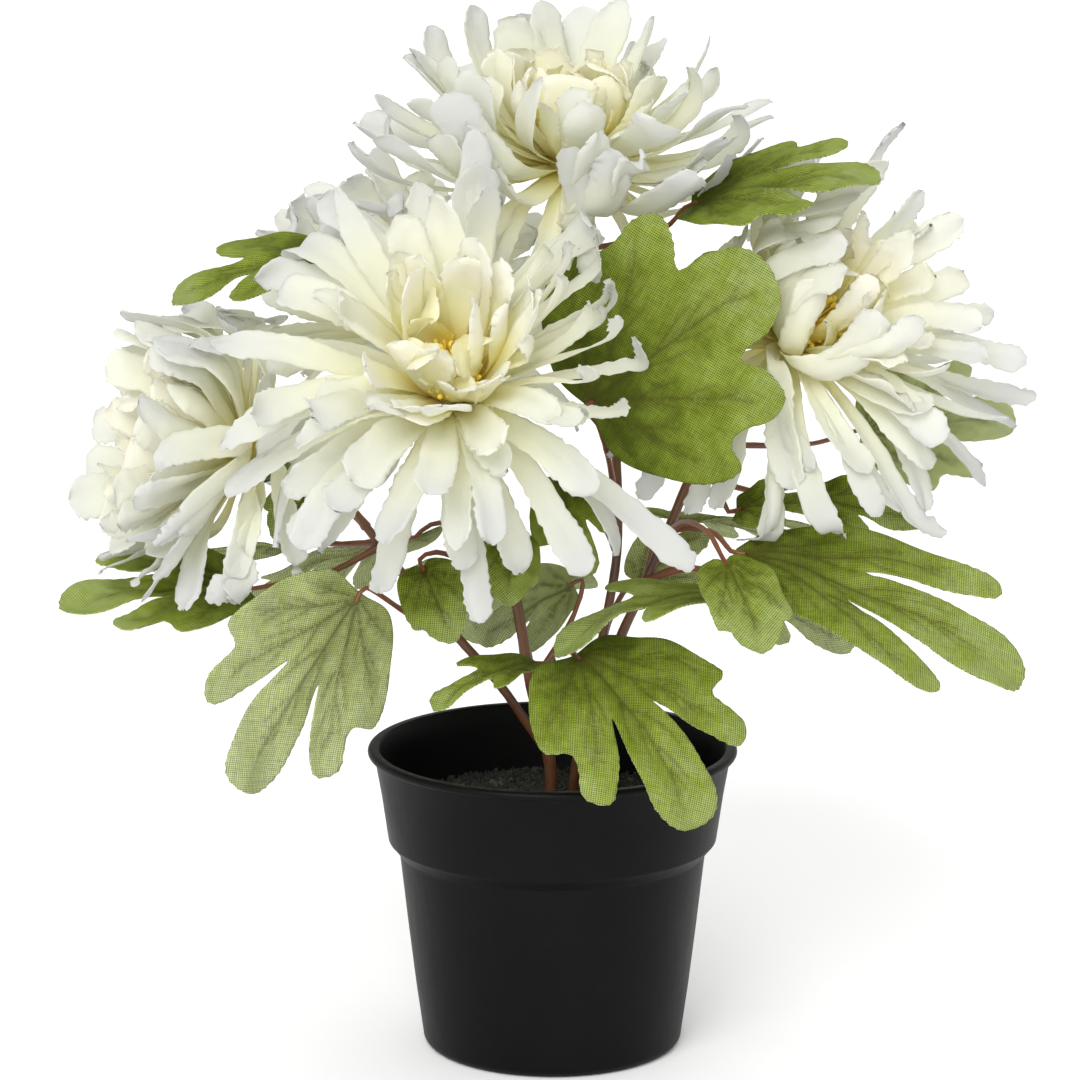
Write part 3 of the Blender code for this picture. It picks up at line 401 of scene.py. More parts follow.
LEAVES = [dict(zip(("name", "stem", "form", "root", "tip", "facing", "droop", "stalk"), row)) for row in (
    ("front_left", "left", "five", (-61, -38, 157), (-97, -62, 101), (-0.5, 0.8, 0.1), 20,
     ((-31, -4, 136), (-40, -14, 142), (-50, -26, 152))),
    ("front_rim", "right", "five", (8, -48, 140), (44, -84, 95), (0.3, -0.75, 0.6), 55,
     ((12, 1, 115), (8, -16, 131), (6, -34, 140))),
    ("rim_left", "left", "narrow", (-5, -38, 136), (-37, -60, 126), (0, -0.2, 1), 45,
     ((-6, -2, 118), (-1, -14, 128), (0, -28, 136))),
    ("arch", "right", "narrow", (56, -32, 155), (1, -52, 141), (0, -0.1, 1), 62,
     ((31, 5, 153), (46, -8, 160), (62, -22, 158))),
    ("right_low", "right", "long", (60, -22, 168), (146, -50, 132), (0.2, -0.5, 0.85), 34,
     ((37, 6, 169), (44, -2, 172), (52, -12, 172))),
    ("heart", "right", "simple", (54, -42, 169), (65, -64, 145), (0.3, -0.8, 0.5), 30,
     ((37, 6, 169), (43, -12, 176), (49, -30, 176))),
    ("right_pale", "right", "three", (61, 12, 149), (98, 20, 126), (0.3, 0.8, 0.5), 20,
     ((30, 5, 153), (42, 9, 157), (52, 11, 154))),
    ("far_right", "right", "five", (103, 46, 195), (152, 38, 200), (0, 0.95, 0.2), 18,
     ((50, 10, 197), (68, 24, 194), (88, 40, 192))),
    ("right_tucked", "right", "three", (84, 12, 178), (119, -2, 172), (0.1, -0.5, 0.8), 24,
     ((46, 9, 188), (60, 14, 182), (73, 15, 179))),
    ("top_right", "right", "five", (45, -5, 277), (101, -28, 287), (0, -0.35, 0.95), 25,
     ((6, 29, 258), (20, 17, 261), (35, 2, 268))),
    ("between", "right", "broad", (12, -25, 217), (67, -44, 262), (0.1, -0.9, 0.3), 18,
     ((20, 11, 175), (18, -3, 194), (14, -18, 209))),
    ("behind_between", "right", "three", (23, -16, 236), (56, -30, 262), (0, -0.9, 0.4), 14,
     ((18, 18, 210), (20, 6, 222), (22, -9, 232))),
    ("upper_left", "left", "three", (-74, 5, 259), (-121, 0, 244), (0, -0.3, 0.95), 30,
     ((-19, -8, 177), (-38, 2, 216), (-59, 5, 250))),
    ("left_low", "left", "five", (-99, -14, 155), (-156, -27, 151), (0, -0.3, 0.95), 24,
     ((-55, -1, 166), (-72, -6, 158), (-86, -11, 156))),
    ("left_tucked", "left", "simple", (-75, -16, 189), (-88, -31, 174), (0.2, -0.8, 0.5), 20,
     ((-60, 0, 172), (-66, -6, 182), (-71, -12, 188))),
    ("under_front", "left", "simple", (-41, -22, 163), (-31, -40, 143), (0, -0.9, 0.3), 24,
     ((-13, -5, 152), (-26, -10, 162), (-37, -16, 167))),
    ("under_front_small", "left", "simple", (-13, -30, 175), (-14, -46, 156), (0, -0.9, 0.3), 24,
     ((-17, -7, 168), (-14, -16, 177), (-13, -25, 178))),
    ("under_right", "right", "three", (2, -16, 191), (10, -28, 161), (0.2, -0.9, 0.3), 22,
     ((20, 9, 163), (12, 2, 180), (4, -8, 191))),
    ("pale_left", "left", "three", (6, 8, 151), (-24, -4, 135), (0, 0.9, 0.3), 20,
     ((-7, -2, 120), (4, 4, 136), (9, 8, 147))),
    ("pale_right", "right", "three", (28, 16, 151), (50, 34, 164), (0, 0.7, -0.6), 14,
     ((15, 4, 128), (19, 10, 140), (23, 14, 147))),
    ("mid_right", "right", "three", (60, 3, 177), (88, -10, 181), (0.1, -0.6, 0.8), 22,
     ((45, 8, 184), (50, 7, 182), (55, 5, 179))),
    ("back_left", "left", "five", (-48, 38, 160), (-92, 80, 114), (-0.5, 0.5, 0.7), 44,
     ((-17, 24, 160), (-28, 33, 166), (-40, 37, 165))),
    ("back_low", "left", "five", (-12, 44, 148), (-26, 98, 110), (0, 0.6, 0.8), 50,
     ((-11, 16, 139), (-12, 26, 148), (-12, 36, 151))),
    ("back_right", "right", "five", (42, 36, 166), (90, 80, 140), (0.4, 0.5, 0.8), 40,
     ((30, 5, 153), (33, 16, 162), (38, 28, 167))),
    ("back_high", "right", "three", (36, 50, 226), (82, 84, 236), (0.3, 0.4, 0.8), 30,
     ((18, 18, 210), (24, 30, 220), (31, 42, 225))),
    ("back_side", "right", "three", (78, 46, 217), (106, 80, 208), (0.2, 0.3, 0.9), 30,
     ((50, 10, 197), (58, 22, 206), (68, 36, 215))),
    ("back_outer", "left", "three", (-90, 18, 162), (-122, 46, 138), (-0.3, 0.4, 0.8), 36,
     ((-56, -2, 167), (-68, 6, 165), (-80, 13, 164))),
)]


def smooth_path(points, spacing):
    """Points about a spacing apart on a smooth curve through the given ones."""
    points = [Vector(p) for p in points]
    ends = [points[0] * 2 - points[1]] + points + [points[-1] * 2 - points[-2]]
    path = [points[0]]
    for before, start, end, after in zip(ends, ends[1:], ends[2:], ends[3:]):
        count = max(1, round((end - start).length / spacing))
        for i in range(1, count + 1):
            t = i / count
            linear, square = end - before, 2 * before - 5 * start + 4 * end - after
            cubic = 3 * start - before - 3 * end + after
            path.append(0.5 * (2 * start + linear * t + square * t * t + cubic * t ** 3))
    return path


def head_frame(head):
    """A head's foot, its right, its upper side and the way it faces."""
    foot, axis = Vector(HEADS[head]["foot"]), Vector(HEADS[head]["facing"]).normalized()
    upper = (UP - axis * UP.dot(axis)).normalized()
    return foot, upper.cross(axis), upper, axis


def leaf_frame(leaf):
    """A leaf's root, its way out, its side, its upper normal, its length and its droop in radians."""
    root, tip, facing = Vector(leaf["root"]), Vector(leaf["tip"]), Vector(leaf["facing"])
    chord = (tip - root).normalized()
    normal = (facing - chord * facing.dot(chord)).normalized()
    half = math.radians(leaf["droop"]) / 2
    along = chord * math.cos(half) + normal * math.sin(half)
    upper = normal * math.cos(half) - chord * math.sin(half)
    return root, along, upper.cross(along), upper, (tip - root).length * half / math.sin(half), 2 * half


def nearest_on(paths, point):
    """The point nearest to a given one on any of the paths."""
    best = None
    for path in paths:
        for start, end in zip(path, path[1:]):
            near, share = geometry.intersect_point_line(point, start, end)
            near = start.lerp(end, min(max(share, 0.0), 1.0))
            if best is None or (near - point).length < (best - point).length:
                best = near
    return best


def carry(mesh, label, values):
    """Lets a mesh carry a number or a direction for each of its points, under a name."""
    values = np.array(values, dtype=float)
    kind, field = ("FLOAT", "value") if values.ndim == 1 else ("FLOAT_VECTOR", "vector")
    mesh.attributes.new(label, kind, "POINT").data.foreach_set(field, values.ravel())


def guide_lines(name, lines, **values):
    """A mesh of open lines in metres, with one named value a point for each given list of lists."""
    mesh = bpy.data.meshes.new(name)
    flat = [tuple(Vector(p) * MM) for line in lines for p in line]
    edges = []
    start = 0
    for line in lines:
        edges += [(start + i, start + i + 1) for i in range(len(line) - 1)]
        start += len(line)
    mesh.from_pydata(flat, edges, [])
    for label, rows in values.items():
        carry(mesh, label, [value for line in rows for value in line])
    return mesh


rods = Grower("rods_on_lines", ("Sides", "Int"), ("Unevenness", "Float"))
curve = rods.add("GeometryNodeMeshToCurve", Mesh=rods.given["Geometry"])
circle = rods.add("GeometryNodeCurvePrimitiveCircle", Resolution=rods.given["Sides"], Radius=1.0)
tubes = rods.add("GeometryNodeCurveToMesh", Curve=curve, Profile_Curve=circle, Scale=rods.read("radius"),
                 Fill_Caps=True)
noise = rods.add("ShaderNodeTexNoise", None, "Fac", Scale=260.0, Detail=2.0)
swell = rods.product(rods.worked("SUBTRACT", noise, 0.5), rods.given["Unevenness"])
push = rods.vector("SCALE", rods.add("GeometryNodeInputNormal", None, "Normal"), Scale=swell)
rods.close(rods.add("GeometryNodeSetPosition", Geometry=tubes, Offset=push))

finish = Finish("stem_plastic")
place = finish.place()
age = finish.noise(place, 60.0, 4.0)
bark = finish.ramp(age, (0.3, (0.060, 0.022, 0.009)), (0.55, (0.130, 0.052, 0.018)),
                   (0.8, (0.200, 0.092, 0.030)))
stalk = finish.ramp(age, (0.3, (0.130, 0.032, 0.014)), (0.7, (0.200, 0.080, 0.030)))
finish.show(Base_Color=finish.mixed(finish.read("thin"), bark, stalk), Roughness=finish.scaled(age, 0.3, 0.26))
finish.relief(finish.noise(place, 900.0, 3.0), 0.5, 0.0002)

STEM_KNOTS = 21.0
STALK_KNOTS = 17.0
ROD_SPACING = 3.0
STALK_RADIUS = 1.15
STALK_THINNING = 0.45
STALK_SWELL = 0.7
for group in ("left", "right"):
    lines, radii, thins, paths = [], [], [], []
    for owner, foot_radius, top_radius, head, points in STEMS:
        if owner != group:
            continue
        foot, *_, axis = head_frame(head)
        end = foot - axis * (CUP_DEPTH + GAP)
        paths.append(smooth_path(list(points) + [end - axis * CUP_LEAD, end], STEM_KNOTS))
        lines.append(smooth_path(paths[-1], ROD_SPACING))
        count = len(lines[-1]) - 1
        radii.append([(foot_radius + (top_radius - foot_radius) * i / count) * MM for i in range(count + 1)])
        thins.append([0.0] * (count + 1))
    for leaf in LEAVES:
        if leaf["stem"] != group:
            continue
        root, along, *_ = leaf_frame(leaf)
        stalk = [Vector(p) for p in leaf["stalk"]]
        stalk[0] = nearest_on(paths, stalk[0])
        stalk += [root - along * 4.0, root + along * 1.2]
        lines.append(smooth_path(smooth_path(stalk, STALK_KNOTS), ROD_SPACING))
        count = len(lines[-1]) - 1
        radii.append([(STALK_RADIUS - STALK_THINNING * (i / count) + STALK_SWELL * math.exp(-i * 1.2)) * MM
                      for i in range(count + 1)])
        thins.append([min(1.0, 0.3 + i / 6.0) for i in range(count + 1)])
    guide = guide_lines("stem_guides_" + group, lines, radius=radii, thin=thins)
    stem = rods.grow("stem_rods_" + group, guide, finish.material, {"Sides": 14, "Unevenness": 0.0006})
    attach(stem, "root")
    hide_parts("stem_" + group)


# The cups: under each bloom a green moulded cup that holds the petals' feet, with small pointed bracts
# pressed to its side in two rows.
CUP_RADIUS = 7.2
CUP_FOOT_RADIUS = 2.4

finish = Finish("cup_plastic")
place = finish.place()
tone = finish.noise(place, 120.0, 4.0)
finish.show(Base_Color=finish.ramp(tone, (0.3, (0.055, 0.120, 0.020)), (0.7, (0.120, 0.220, 0.050))),
            Roughness=finish.scaled(tone, 0.3, 0.4))
finish.relief(finish.noise(place, 900.0, 2.0), 0.5, 0.0003)


def carried_to_head(bm, head, lift=0.0):
    """Carries a mesh from the origin to a head's foot, with Z along the way that it faces."""
    foot, right, upper, axis = head_frame(head)
    for vert in bm.verts:
        x, y, z = vert.co
        vert.co = foot * MM + right * x + upper * y + axis * (z + lift)


BRACTS = 11
BRACT_RINGS = 7
BRACT_SIDES = 8
BRACT_LENGTHS = (9.0, 6.5)
BRACT_HALF_WIDTH = 1.5
BRACT_HALF_THICKNESS = 0.28
for head in HEADS:
    profile = [(0.0, -GAP), (CUP_RADIUS - 0.4, -GAP)]
    profile += arc((CUP_RADIUS - 0.5, -GAP - 0.6), 0.5, 80, 0, 4)
    profile += [(CUP_RADIUS, -2.0)]
    profile += [(CUP_RADIUS * share, height) for share, height in ((0.86, -3.6), (0.66, -5.8), (0.50, -8.0))]
    profile += [(CUP_FOOT_RADIUS * 1.2, -10.6), (CUP_FOOT_RADIUS, -12.6), (CUP_FOOT_RADIUS, -CUP_DEPTH)]
    profile += [(0.0, -CUP_DEPTH)]
    bm = bmesh.new()
    bm.from_mesh(turned("cup_" + head, profile, 40))
    for row, length in enumerate(BRACT_LENGTHS):
        for i in range(BRACTS):
            azimuth = 2 * math.pi * (i + row * 0.5) / BRACTS
            outward = Vector((math.cos(azimuth), math.sin(azimuth), 0.0))
            sideways = UP.cross(outward)
            rings = []
            for j in range(BRACT_RINGS):
                t = j / (BRACT_RINGS - 1)
                height = -9.5 + 3.0 * row + length * t
                reach = 3.4 + 1.0 * row + (4.6 - 0.6 * row) * math.sin(t * 1.5) + 0.5
                half = BRACT_HALF_WIDTH * math.sin(math.pi * (0.12 + 0.86 * t)) ** 0.7
                centre = outward * reach + UP * height
                ring = []
                for k in range(BRACT_SIDES):
                    angle = 2 * math.pi * k / BRACT_SIDES
                    spot = centre + sideways * half * math.cos(angle)
                    spot += outward * BRACT_HALF_THICKNESS * math.sin(angle)
                    ring.append(bm.verts.new(spot * MM))
                rings.append(ring)
            for low, high in zip(rings, rings[1:]):
                for k in range(BRACT_SIDES):
                    bm.faces.new((low[k], low[k - 1], high[k - 1], high[k]))
            bm.faces.new(rings[0])
            bm.faces.new(reversed(rings[-1]))
    bmesh.ops.recalc_face_normals(bm, faces=bm.faces)
    carried_to_head(bm, head)
    mesh = bpy.data.meshes.new("cup_" + head)
    bm.to_mesh(mesh)
    bm.free()
    cup = shown("cup_" + head, mesh, finish.material)
    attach(cup, "root")
    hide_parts("head_" + head + "_cup")


# The petals: long straps cut from soft white woven fabric, dyed yellow at the foot, pressed hollow along
# their middle and curled by hand. They are set in rings round each core, the inner ones short and upright,
# the outer ones long and hanging; a few single ones stand out from the rest.
CORE_FOOT_RADIUS = 8.8
CORE_TOP_RADIUS = 6.5
CORE_HEIGHT = 11.5
PETAL_WIDTH = 12.5
RINGS = [dict(zip(("count", "radius", "height", "length", "width", "foot_rise", "rise", "tip_rise", "weight"),
                  row)) for row in (
    (7, 5.2, 10.6, 0.42, 0.96, 46.0, 88.0, 138.0, 0.00),
    (9, 5.4, 9.6, 0.56, 1.06, 50.0, 80.0, 108.0, 0.02),
    (11, 6.0, 7.8, 0.64, 1.14, 50.0, 66.0, 80.0, 0.08),
    (13, 6.4, 6.2, 0.75, 1.14, 47.0, 50.0, 52.0, 0.24),
    (15, 6.4, 4.6, 0.85, 1.04, 40.0, 36.0, 32.0, 0.40),
    (15, 6.4, 3.2, 0.94, 0.94, 30.0, 18.0, 10.0, 0.50),
    (14, 6.4, 2.0, 1.00, 0.86, 20.0, 3.0, -8.0, 0.60),
    (9, 6.4, 0.8, 1.00, 0.78, 4.0, -14.0, -26.0, 0.66),
)]
HABITS = {head: dict(zip(("droop", "curl", "low_share", "inner_share", "opening", "breadth"), row))
          for head, row in {
              "front": (1.25, 0.0, 0.78, 1.0, 0.0, 1.0),
              "top": (0.10, 46.0, 1.0, 0.75, 22.0, 1.2),
              "right": (0.90, 6.0, 1.0, 1.10, 0.0, 0.80),
              "left": (0.35, 14.0, 0.90, 1.0, 0.0, 1.1),
              "back": (0.50, 8.0, 1.0, 1.0, 0.0, 1.0),
          }.items()}
RIBBONS = {head: dict(zip(("from", "to", "first_tier", "width", "hook"), row))
           for head, row in {
               "front": (-20.0, 62.0, 3, 0.46, 105.0),
               "top": (15.0, 45.0, 6, 0.46, 90.0),
               "right": (-16.0, 74.0, 4, 0.84, 24.0),
           }.items()}
SPLITS = (
    ("front", "top", (-13.0, -10.0, 258.0), (0.25, 0.90, 0.35), 0.0, 0.0),
    ("front", "right", (40.0, -38.0, 240.0), (0.35, 0.93, 0.00), 7.0, 14.0),
    ("front", "left", (-75.0, -30.0, 205.0), (-0.55, 0.80, -0.20), 0.0, 0.0),
    ("front", "back", (-38.0, 8.0, 222.0), (-0.12, 0.99, 0.00), 5.0, 5.0),
    ("top", "right", (44.0, 8.0, 260.0), (0.75, -0.20, -0.62), 3.0, 3.0),
    ("top", "back", (-20.0, 44.0, 254.0), (-0.58, 0.43, -0.69), 0.0, 0.0),
    ("left", "back", (-70.0, 27.0, 209.0), (0.57, 0.78, 0.29), 3.0, 3.0),
)
BOUNDS = (
    ("left", (-100.0, -14.0, 165.0), (0.05, 0.20, -0.97)),
    ("left", (-100.0, 0.0, 240.0), (0.10, 0.00, 1.00)),
    ("front", (30.0, -70.0, 240.0), (0.93, 0.00, 0.37)),
    ("top", (40.0, -15.0, 273.5), (0.40, -0.35, -0.85)),
    ("right", (85.0, -35.0, 174.0), (0.00, -0.25, -0.97)),
    ("right", (72.0, -16.0, 276.0), (-0.35, -0.45, 0.85)),
    ("right", (30.0, 0.0, 225.0), (-0.85, 0.00, 0.50)),
    ("right", (124.0, 30.0, 205.0), (0.00, 0.80, -0.60)),
    ("back", (-53.0, 81.0, 172.0), (0.00, 0.20, -0.98)),
)
SINGLE_PETALS = [dict(zip(("head", "azimuth", "length", "foot_rise", "rise", "tip_rise", "weight", "sway",
                           "twist", "width"), row)) for row in (
    ("front", -24.0, 1.22, -16.0, -8.0, 2.0, 0.60, 0.05, 20.0, 0.72),
    ("front", -80.0, 1.08, -16.0, -18.0, -20.0, 0.60, 0.05, -12.0, 0.70),
    ("top", 186.0, 1.00, -8.0, -22.0, 24.0, 0.30, 0.10, 50.0, 0.50),
    ("top", -38.0, 0.92, -6.0, -38.0, -70.0, 0.50, -0.10, 40.0, 0.55),
    ("top", -62.0, 0.86, -10.0, -50.0, -80.0, 0.50, 0.20, -30.0, 0.60),
    ("top", -86.0, 0.58, -14.0, -46.0, -72.0, 0.50, 0.05, 20.0, 0.66),
    ("top", -112.0, 0.64, -12.0, -44.0, -66.0, 0.50, -0.10, -20.0, 0.70),
    ("top", -138.0, 0.70, -8.0, -36.0, -52.0, 0.40, 0.10, 16.0, 0.62),
    ("right", 62.0, 1.02, 30.0, 24.0, 60.0, 0.00, -0.15, 50.0, 0.42),
    ("right", -18.0, 1.04, 4.0, -8.0, 46.0, 0.40, 0.10, 30.0, 0.50),
)]
SINGLE_FOOT = (6.4, 1.3)
INNER_TIERS = 4
LOOSE_TIERS = (2.4, 2.0, 1.4)
HOOKS = (0.0, 0.0, 0.0, 30.0, 55.0, 85.0, -25.0, -45.0)
SPLIT_MARGIN = 3.5
SLIDE_START = 12.0
EDGE_MARGIN = 0.8
EDGE_SPREAD = 1.6
RING_OFFSET = 0.381966
FINE_STEPS = 20
TIP_START = 0.62


def head_splits(head):
    """The planes that a head stays behind: a point, the outward direction and the half width kept free."""
    planes = []
    for first, second, point, direction, first_free, second_free in SPLITS:
        if head == first:
            planes.append((Vector(point), Vector(direction).normalized(), first_free))
        if head == second:
            planes.append((Vector(point), -Vector(direction).normalized(), second_free))
    for bound, point, direction in BOUNDS:
        if head == bound:
            planes.append((Vector(point), Vector(direction).normalized(), 0.0))
    return planes


def slid_along(way, point, planes):
    """A petal's direction, turned to slide along a plane as the petal comes near it."""
    for centre, outward, free in planes:
        room = -(SPLIT_MARGIN + free) - (point - centre).dot(outward)
        part = way.dot(outward)
        if part > 0.0 and room < SLIDE_START:
            way = way - outward * part * (1.0 - max(room, 0.0) / SLIDE_START)
    return way.normalized()


def laid_flat(across, along, point, half, planes, inset):
    """A petal's width direction, turned so that neither of its edges passes a plane."""
    for centre, outward, free in planes:
        room = max(-(point - centre).dot(outward) - EDGE_MARGIN - free - inset, 0.0)
        part = across.dot(outward)
        if abs(part) * half > room:
            kept = math.copysign(room / half, part)
            beside = along.cross(outward)
            flat = across - outward * part + beside * math.copysign(0.5, beside.dot(across))
            across = flat.normalized() * math.sqrt(1.0 - kept * kept) + outward * kept
    return across


def edge_clear(point, planes, inset):
    """A petal's edge point, cut back to its own side of each plane."""
    for centre, outward, free in planes:
        beyond = (point - centre).dot(outward) + EDGE_MARGIN + free + inset
        if beyond > 0:
            point = point - outward * beyond
    return point


def bloom_petals(head):
    """The petals of a bloom, ring by ring from its heart, each with its own draws, and then its single ones."""
    draw = random.Random(HEADS[head]["seed"])
    habit, ribbons = HABITS[head], RIBBONS.get(head)
    petals = []
    for tier, ring in enumerate(RINGS):
        loose = LOOSE_TIERS[tier] if tier < len(LOOSE_TIERS) else 1.0
        inner = tier < INNER_TIERS
        length = ring["length"]
        for i in range(ring["count"]):
            azimuth = 2 * math.pi * (i + tier * RING_OFFSET + draw.uniform(-0.42, 0.42)) / ring["count"]
            lift = draw.uniform(-9.0, 9.0) * loose
            petal = {
                "radius": ring["radius"], "azimuth": azimuth,
                "height": ring["height"] + draw.uniform(-0.5, 0.5),
                "length": length * draw.uniform(0.86, 1.06) * (habit["inner_share"] if inner else 1.0),
                "width": ring["width"] * habit["breadth"] * draw.uniform(0.78, 1.08),
                "rises": (ring["foot_rise"] + lift - habit["opening"] * length,
                          ring["rise"] + 1.3 * lift + (habit["curl"] * 0.4 - habit["opening"] * 0.6) * length,
                          ring["tip_rise"] + 1.7 * lift + habit["curl"] * length + draw.uniform(-14.0, 14.0)),
                "hook": draw.choice(HOOKS) * min(1.0, 0.3 + 0.12 * tier),
                "ripple": (draw.uniform(4.0, 13.0), draw.uniform(0.8, 1.5), draw.uniform(0.0, 6.28)),
                "sway": draw.uniform(-0.36, 0.36) * loose, "twist": draw.uniform(-48.0, 48.0),
                "weight": ring["weight"] * habit["droop"], "inset": EDGE_SPREAD * draw.random(),
                "heart": min(max((0.82 - length) / 0.32, 0.0), 1.0),
            }
            angle = (math.degrees(azimuth) + 180.0) % 360.0 - 180.0
            narrow = draw.random()
            if ribbons and tier >= ribbons["first_tier"] and ribbons["from"] < angle < ribbons["to"]:
                petal["length"] *= 0.80 + 0.14 * draw.random()
                petal["width"] *= ribbons["width"] * (1.4 if inner else 0.8 + 0.45 * narrow)
                petal["hook"] = ribbons["hook"] * draw.uniform(0.6, 1.4)
                petal["weight"] *= 0.1
                petal["twist"] *= 2.2
            petals.append(petal)
    for row in SINGLE_PETALS:
        if row["head"] == head:
            petals.append({
                **row, "radius": SINGLE_FOOT[0], "height": SINGLE_FOOT[1],
                "azimuth": math.radians(row["azimuth"]), "hook": 0.0,
                "rises": (row["foot_rise"], row["rise"], row["tip_rise"]), "ripple": (4.0, 1.0, 1.0),
                "inset": 0.0, "heart": 0.0,
            })
    return petals


def petal_midline(head, petal, planes):
    """Even points along a petal's middle, in millimetres, and the width direction at each."""
    foot, right, upper, axis = head_frame(head)
    lowness = max(-math.sin(petal["azimuth"]), 0.0)
    reach = HEADS[head]["reach"] * petal["length"] * (1.0 - lowness * (1.0 - HABITS[head]["low_share"]))
    outward = right * math.cos(petal["azimuth"]) + upper * math.sin(petal["azimuth"])
    sideways = axis.cross(outward)
    point = foot + axis * petal["height"] + outward * petal["radius"]
    points = [point]
    low, middle, high = petal["rises"]
    size, waves, phase = petal["ripple"]
    for i in range(FINE_STEPS):
        share = (i + 0.5) / FINE_STEPS
        rise = low * (1 - share) ** 2 + middle * 2 * share * (1 - share) + high * share ** 2
        rise += petal["hook"] * (max(share - TIP_START, 0.0) / (1.0 - TIP_START)) ** 2
        rise = math.radians(rise + size * share * math.sin(6.28 * waves * share + phase))
        drift = petal["sway"] * share + 0.012 * size * share * math.sin(5.0 * waves * share + 2.0 * phase)
        way = outward * math.cos(rise) + axis * math.sin(rise) + sideways * drift
        way = slid_along((way.normalized() - UP * petal["weight"] * share ** 1.3).normalized(), point, planes)
        point = point + way * reach / FINE_STEPS
        points.append(point)
    widths = []
    for i in range(FINE_STEPS + 1):
        along = (points[min(i + 1, FINE_STEPS)] - points[max(i - 1, 0)]).normalized()
        turn = Quaternion(along, math.radians(petal["twist"] * i / FINE_STEPS))
        widths.append(turn @ (sideways - along * sideways.dot(along)).normalized())
    return points, widths


PETAL_PLACES = [0.03 * i for i in range(24)] + [
    0.715, 0.74, 0.765, 0.79, 0.812, 0.834, 0.856, 0.876, 0.896,
    0.914, 0.932, 0.948, 0.962, 0.975, 0.985, 0.993, 1.0]


def petal_breadth(share, pointed):
    """Share of the full width at a place along a petal, with a round or a pointed end."""
    body = float(np.interp(share, (0.0, 0.28, 0.58, 0.84, 1.0), (0.48, 0.66, 0.86, 1.0, 1.0)))
    start = 0.90 - 0.45 * pointed
    if share <= start:
        return body
    left = (share - start) / (1.0 - start)
    return body * max((1.0 - left ** (2.6 - 1.2 * pointed)) ** (0.52 + 0.40 * pointed), 0.15)


def smoothed(points, rounds):
    """Points of an open line, evened out along it with both ends kept."""
    for _ in range(rounds):
        inner = [(a + b * 2 + c) / 4 for a, b, c in zip(points, points[1:], points[2:])]
        points = [points[0]] + inner + [points[-1]]
    return points


straps = Grower("straps_on_lines", ("Points round", "Int"), ("Thickness share", "Float"), ("Crumple", "Float"),
                ("Pleats", "Float"), ("Ragged edge", "Float"))
inner, wide = straps.read("inner", "FLOAT_VECTOR"), straps.read("wide", "FLOAT_VECTOR")
half, along, across = straps.read("half"), straps.read("along"), straps.read("across")
curve = straps.add("GeometryNodeMeshToCurve", Mesh=straps.given["Geometry"])
curve = straps.add("GeometryNodeSetCurveNormal", {"mode": "FREE"}, Curve=curve, Normal=inner)
circle = straps.add("GeometryNodeCurvePrimitiveCircle", Resolution=straps.given["Points round"], Radius=1.0)
spot = straps.add("ShaderNodeSeparateXYZ", output=None, Vector=straps.add("GeometryNodeInputPosition")).outputs
circle = straps.add("GeometryNodeStoreNamedAttribute", Geometry=circle, Name="across", Value=spot["Y"])
flat_spot = straps.add("ShaderNodeCombineXYZ", X=straps.product(spot["X"], straps.given["Thickness share"]),
                       Y=spot["Y"])
lens = straps.add("GeometryNodeSetPosition", Geometry=circle, Position=flat_spot)
sheets = straps.add("GeometryNodeCurveToMesh", Curve=curve, Profile_Curve=lens, Scale=half, Fill_Caps=True)
sheet_place = straps.add("ShaderNodeCombineXYZ", X=across, Y=along, Z=straps.product(straps.read("tone"), 37.0))


def unevenness(stretch, detail, level):
    """Noise above a level, over the flat strap, stretched across it, along it and from strap to strap."""
    place = straps.vector("MULTIPLY", sheet_place, i1=stretch)
    noise = straps.add("ShaderNodeTexNoise", None, "Fac", Vector=place, Scale=1.0, Detail=detail)
    return straps.worked("SUBTRACT", noise, level)


lift = straps.product(across, across, straps.read("cup"), half)
for rise in (straps.product(unevenness((1.5, 2.6, 1.0), 2.5, 0.5), straps.given["Crumple"], along),
             straps.product(unevenness((4.2, 1.6, 1.7), 2.0, 0.5), straps.given["Pleats"]),
             straps.product(straps.worked("ABSOLUTE", across), straps.read("fold"), half)):
    lift = straps.worked("ADD", lift, rise)
nick = straps.product(unevenness((1.0, 34.0, 3.0), 3.0, 0.55), straps.given["Ragged edge"], across, along)
raised = straps.vector("SCALE", inner, Scale=lift)
moved = straps.vector("ADD", raised, i1=straps.vector("SCALE", wide, Scale=nick))
straps.close(straps.add("GeometryNodeSetPosition", Geometry=sheets, Offset=moved))


def threads(finish, place, direction, scale, **inputs):
    """The rise and fall of parallel threads."""
    return finish.add("ShaderNodeTexWave", {"wave_type": "BANDS", "bands_direction": direction}, "Fac",
                      Vector=place, Scale=scale, **inputs)


def lit_through(finish, colour, share):
    """Lets light from behind show through a thin cloth."""
    through = finish.add("ShaderNodeBsdfTranslucent", Color=colour)
    both = finish.add("ShaderNodeMixShader", Fac=share, i1=finish.shader.outputs[0], i2=through)
    finish.feed(finish.tree.nodes["Material Output"], "Surface", both)


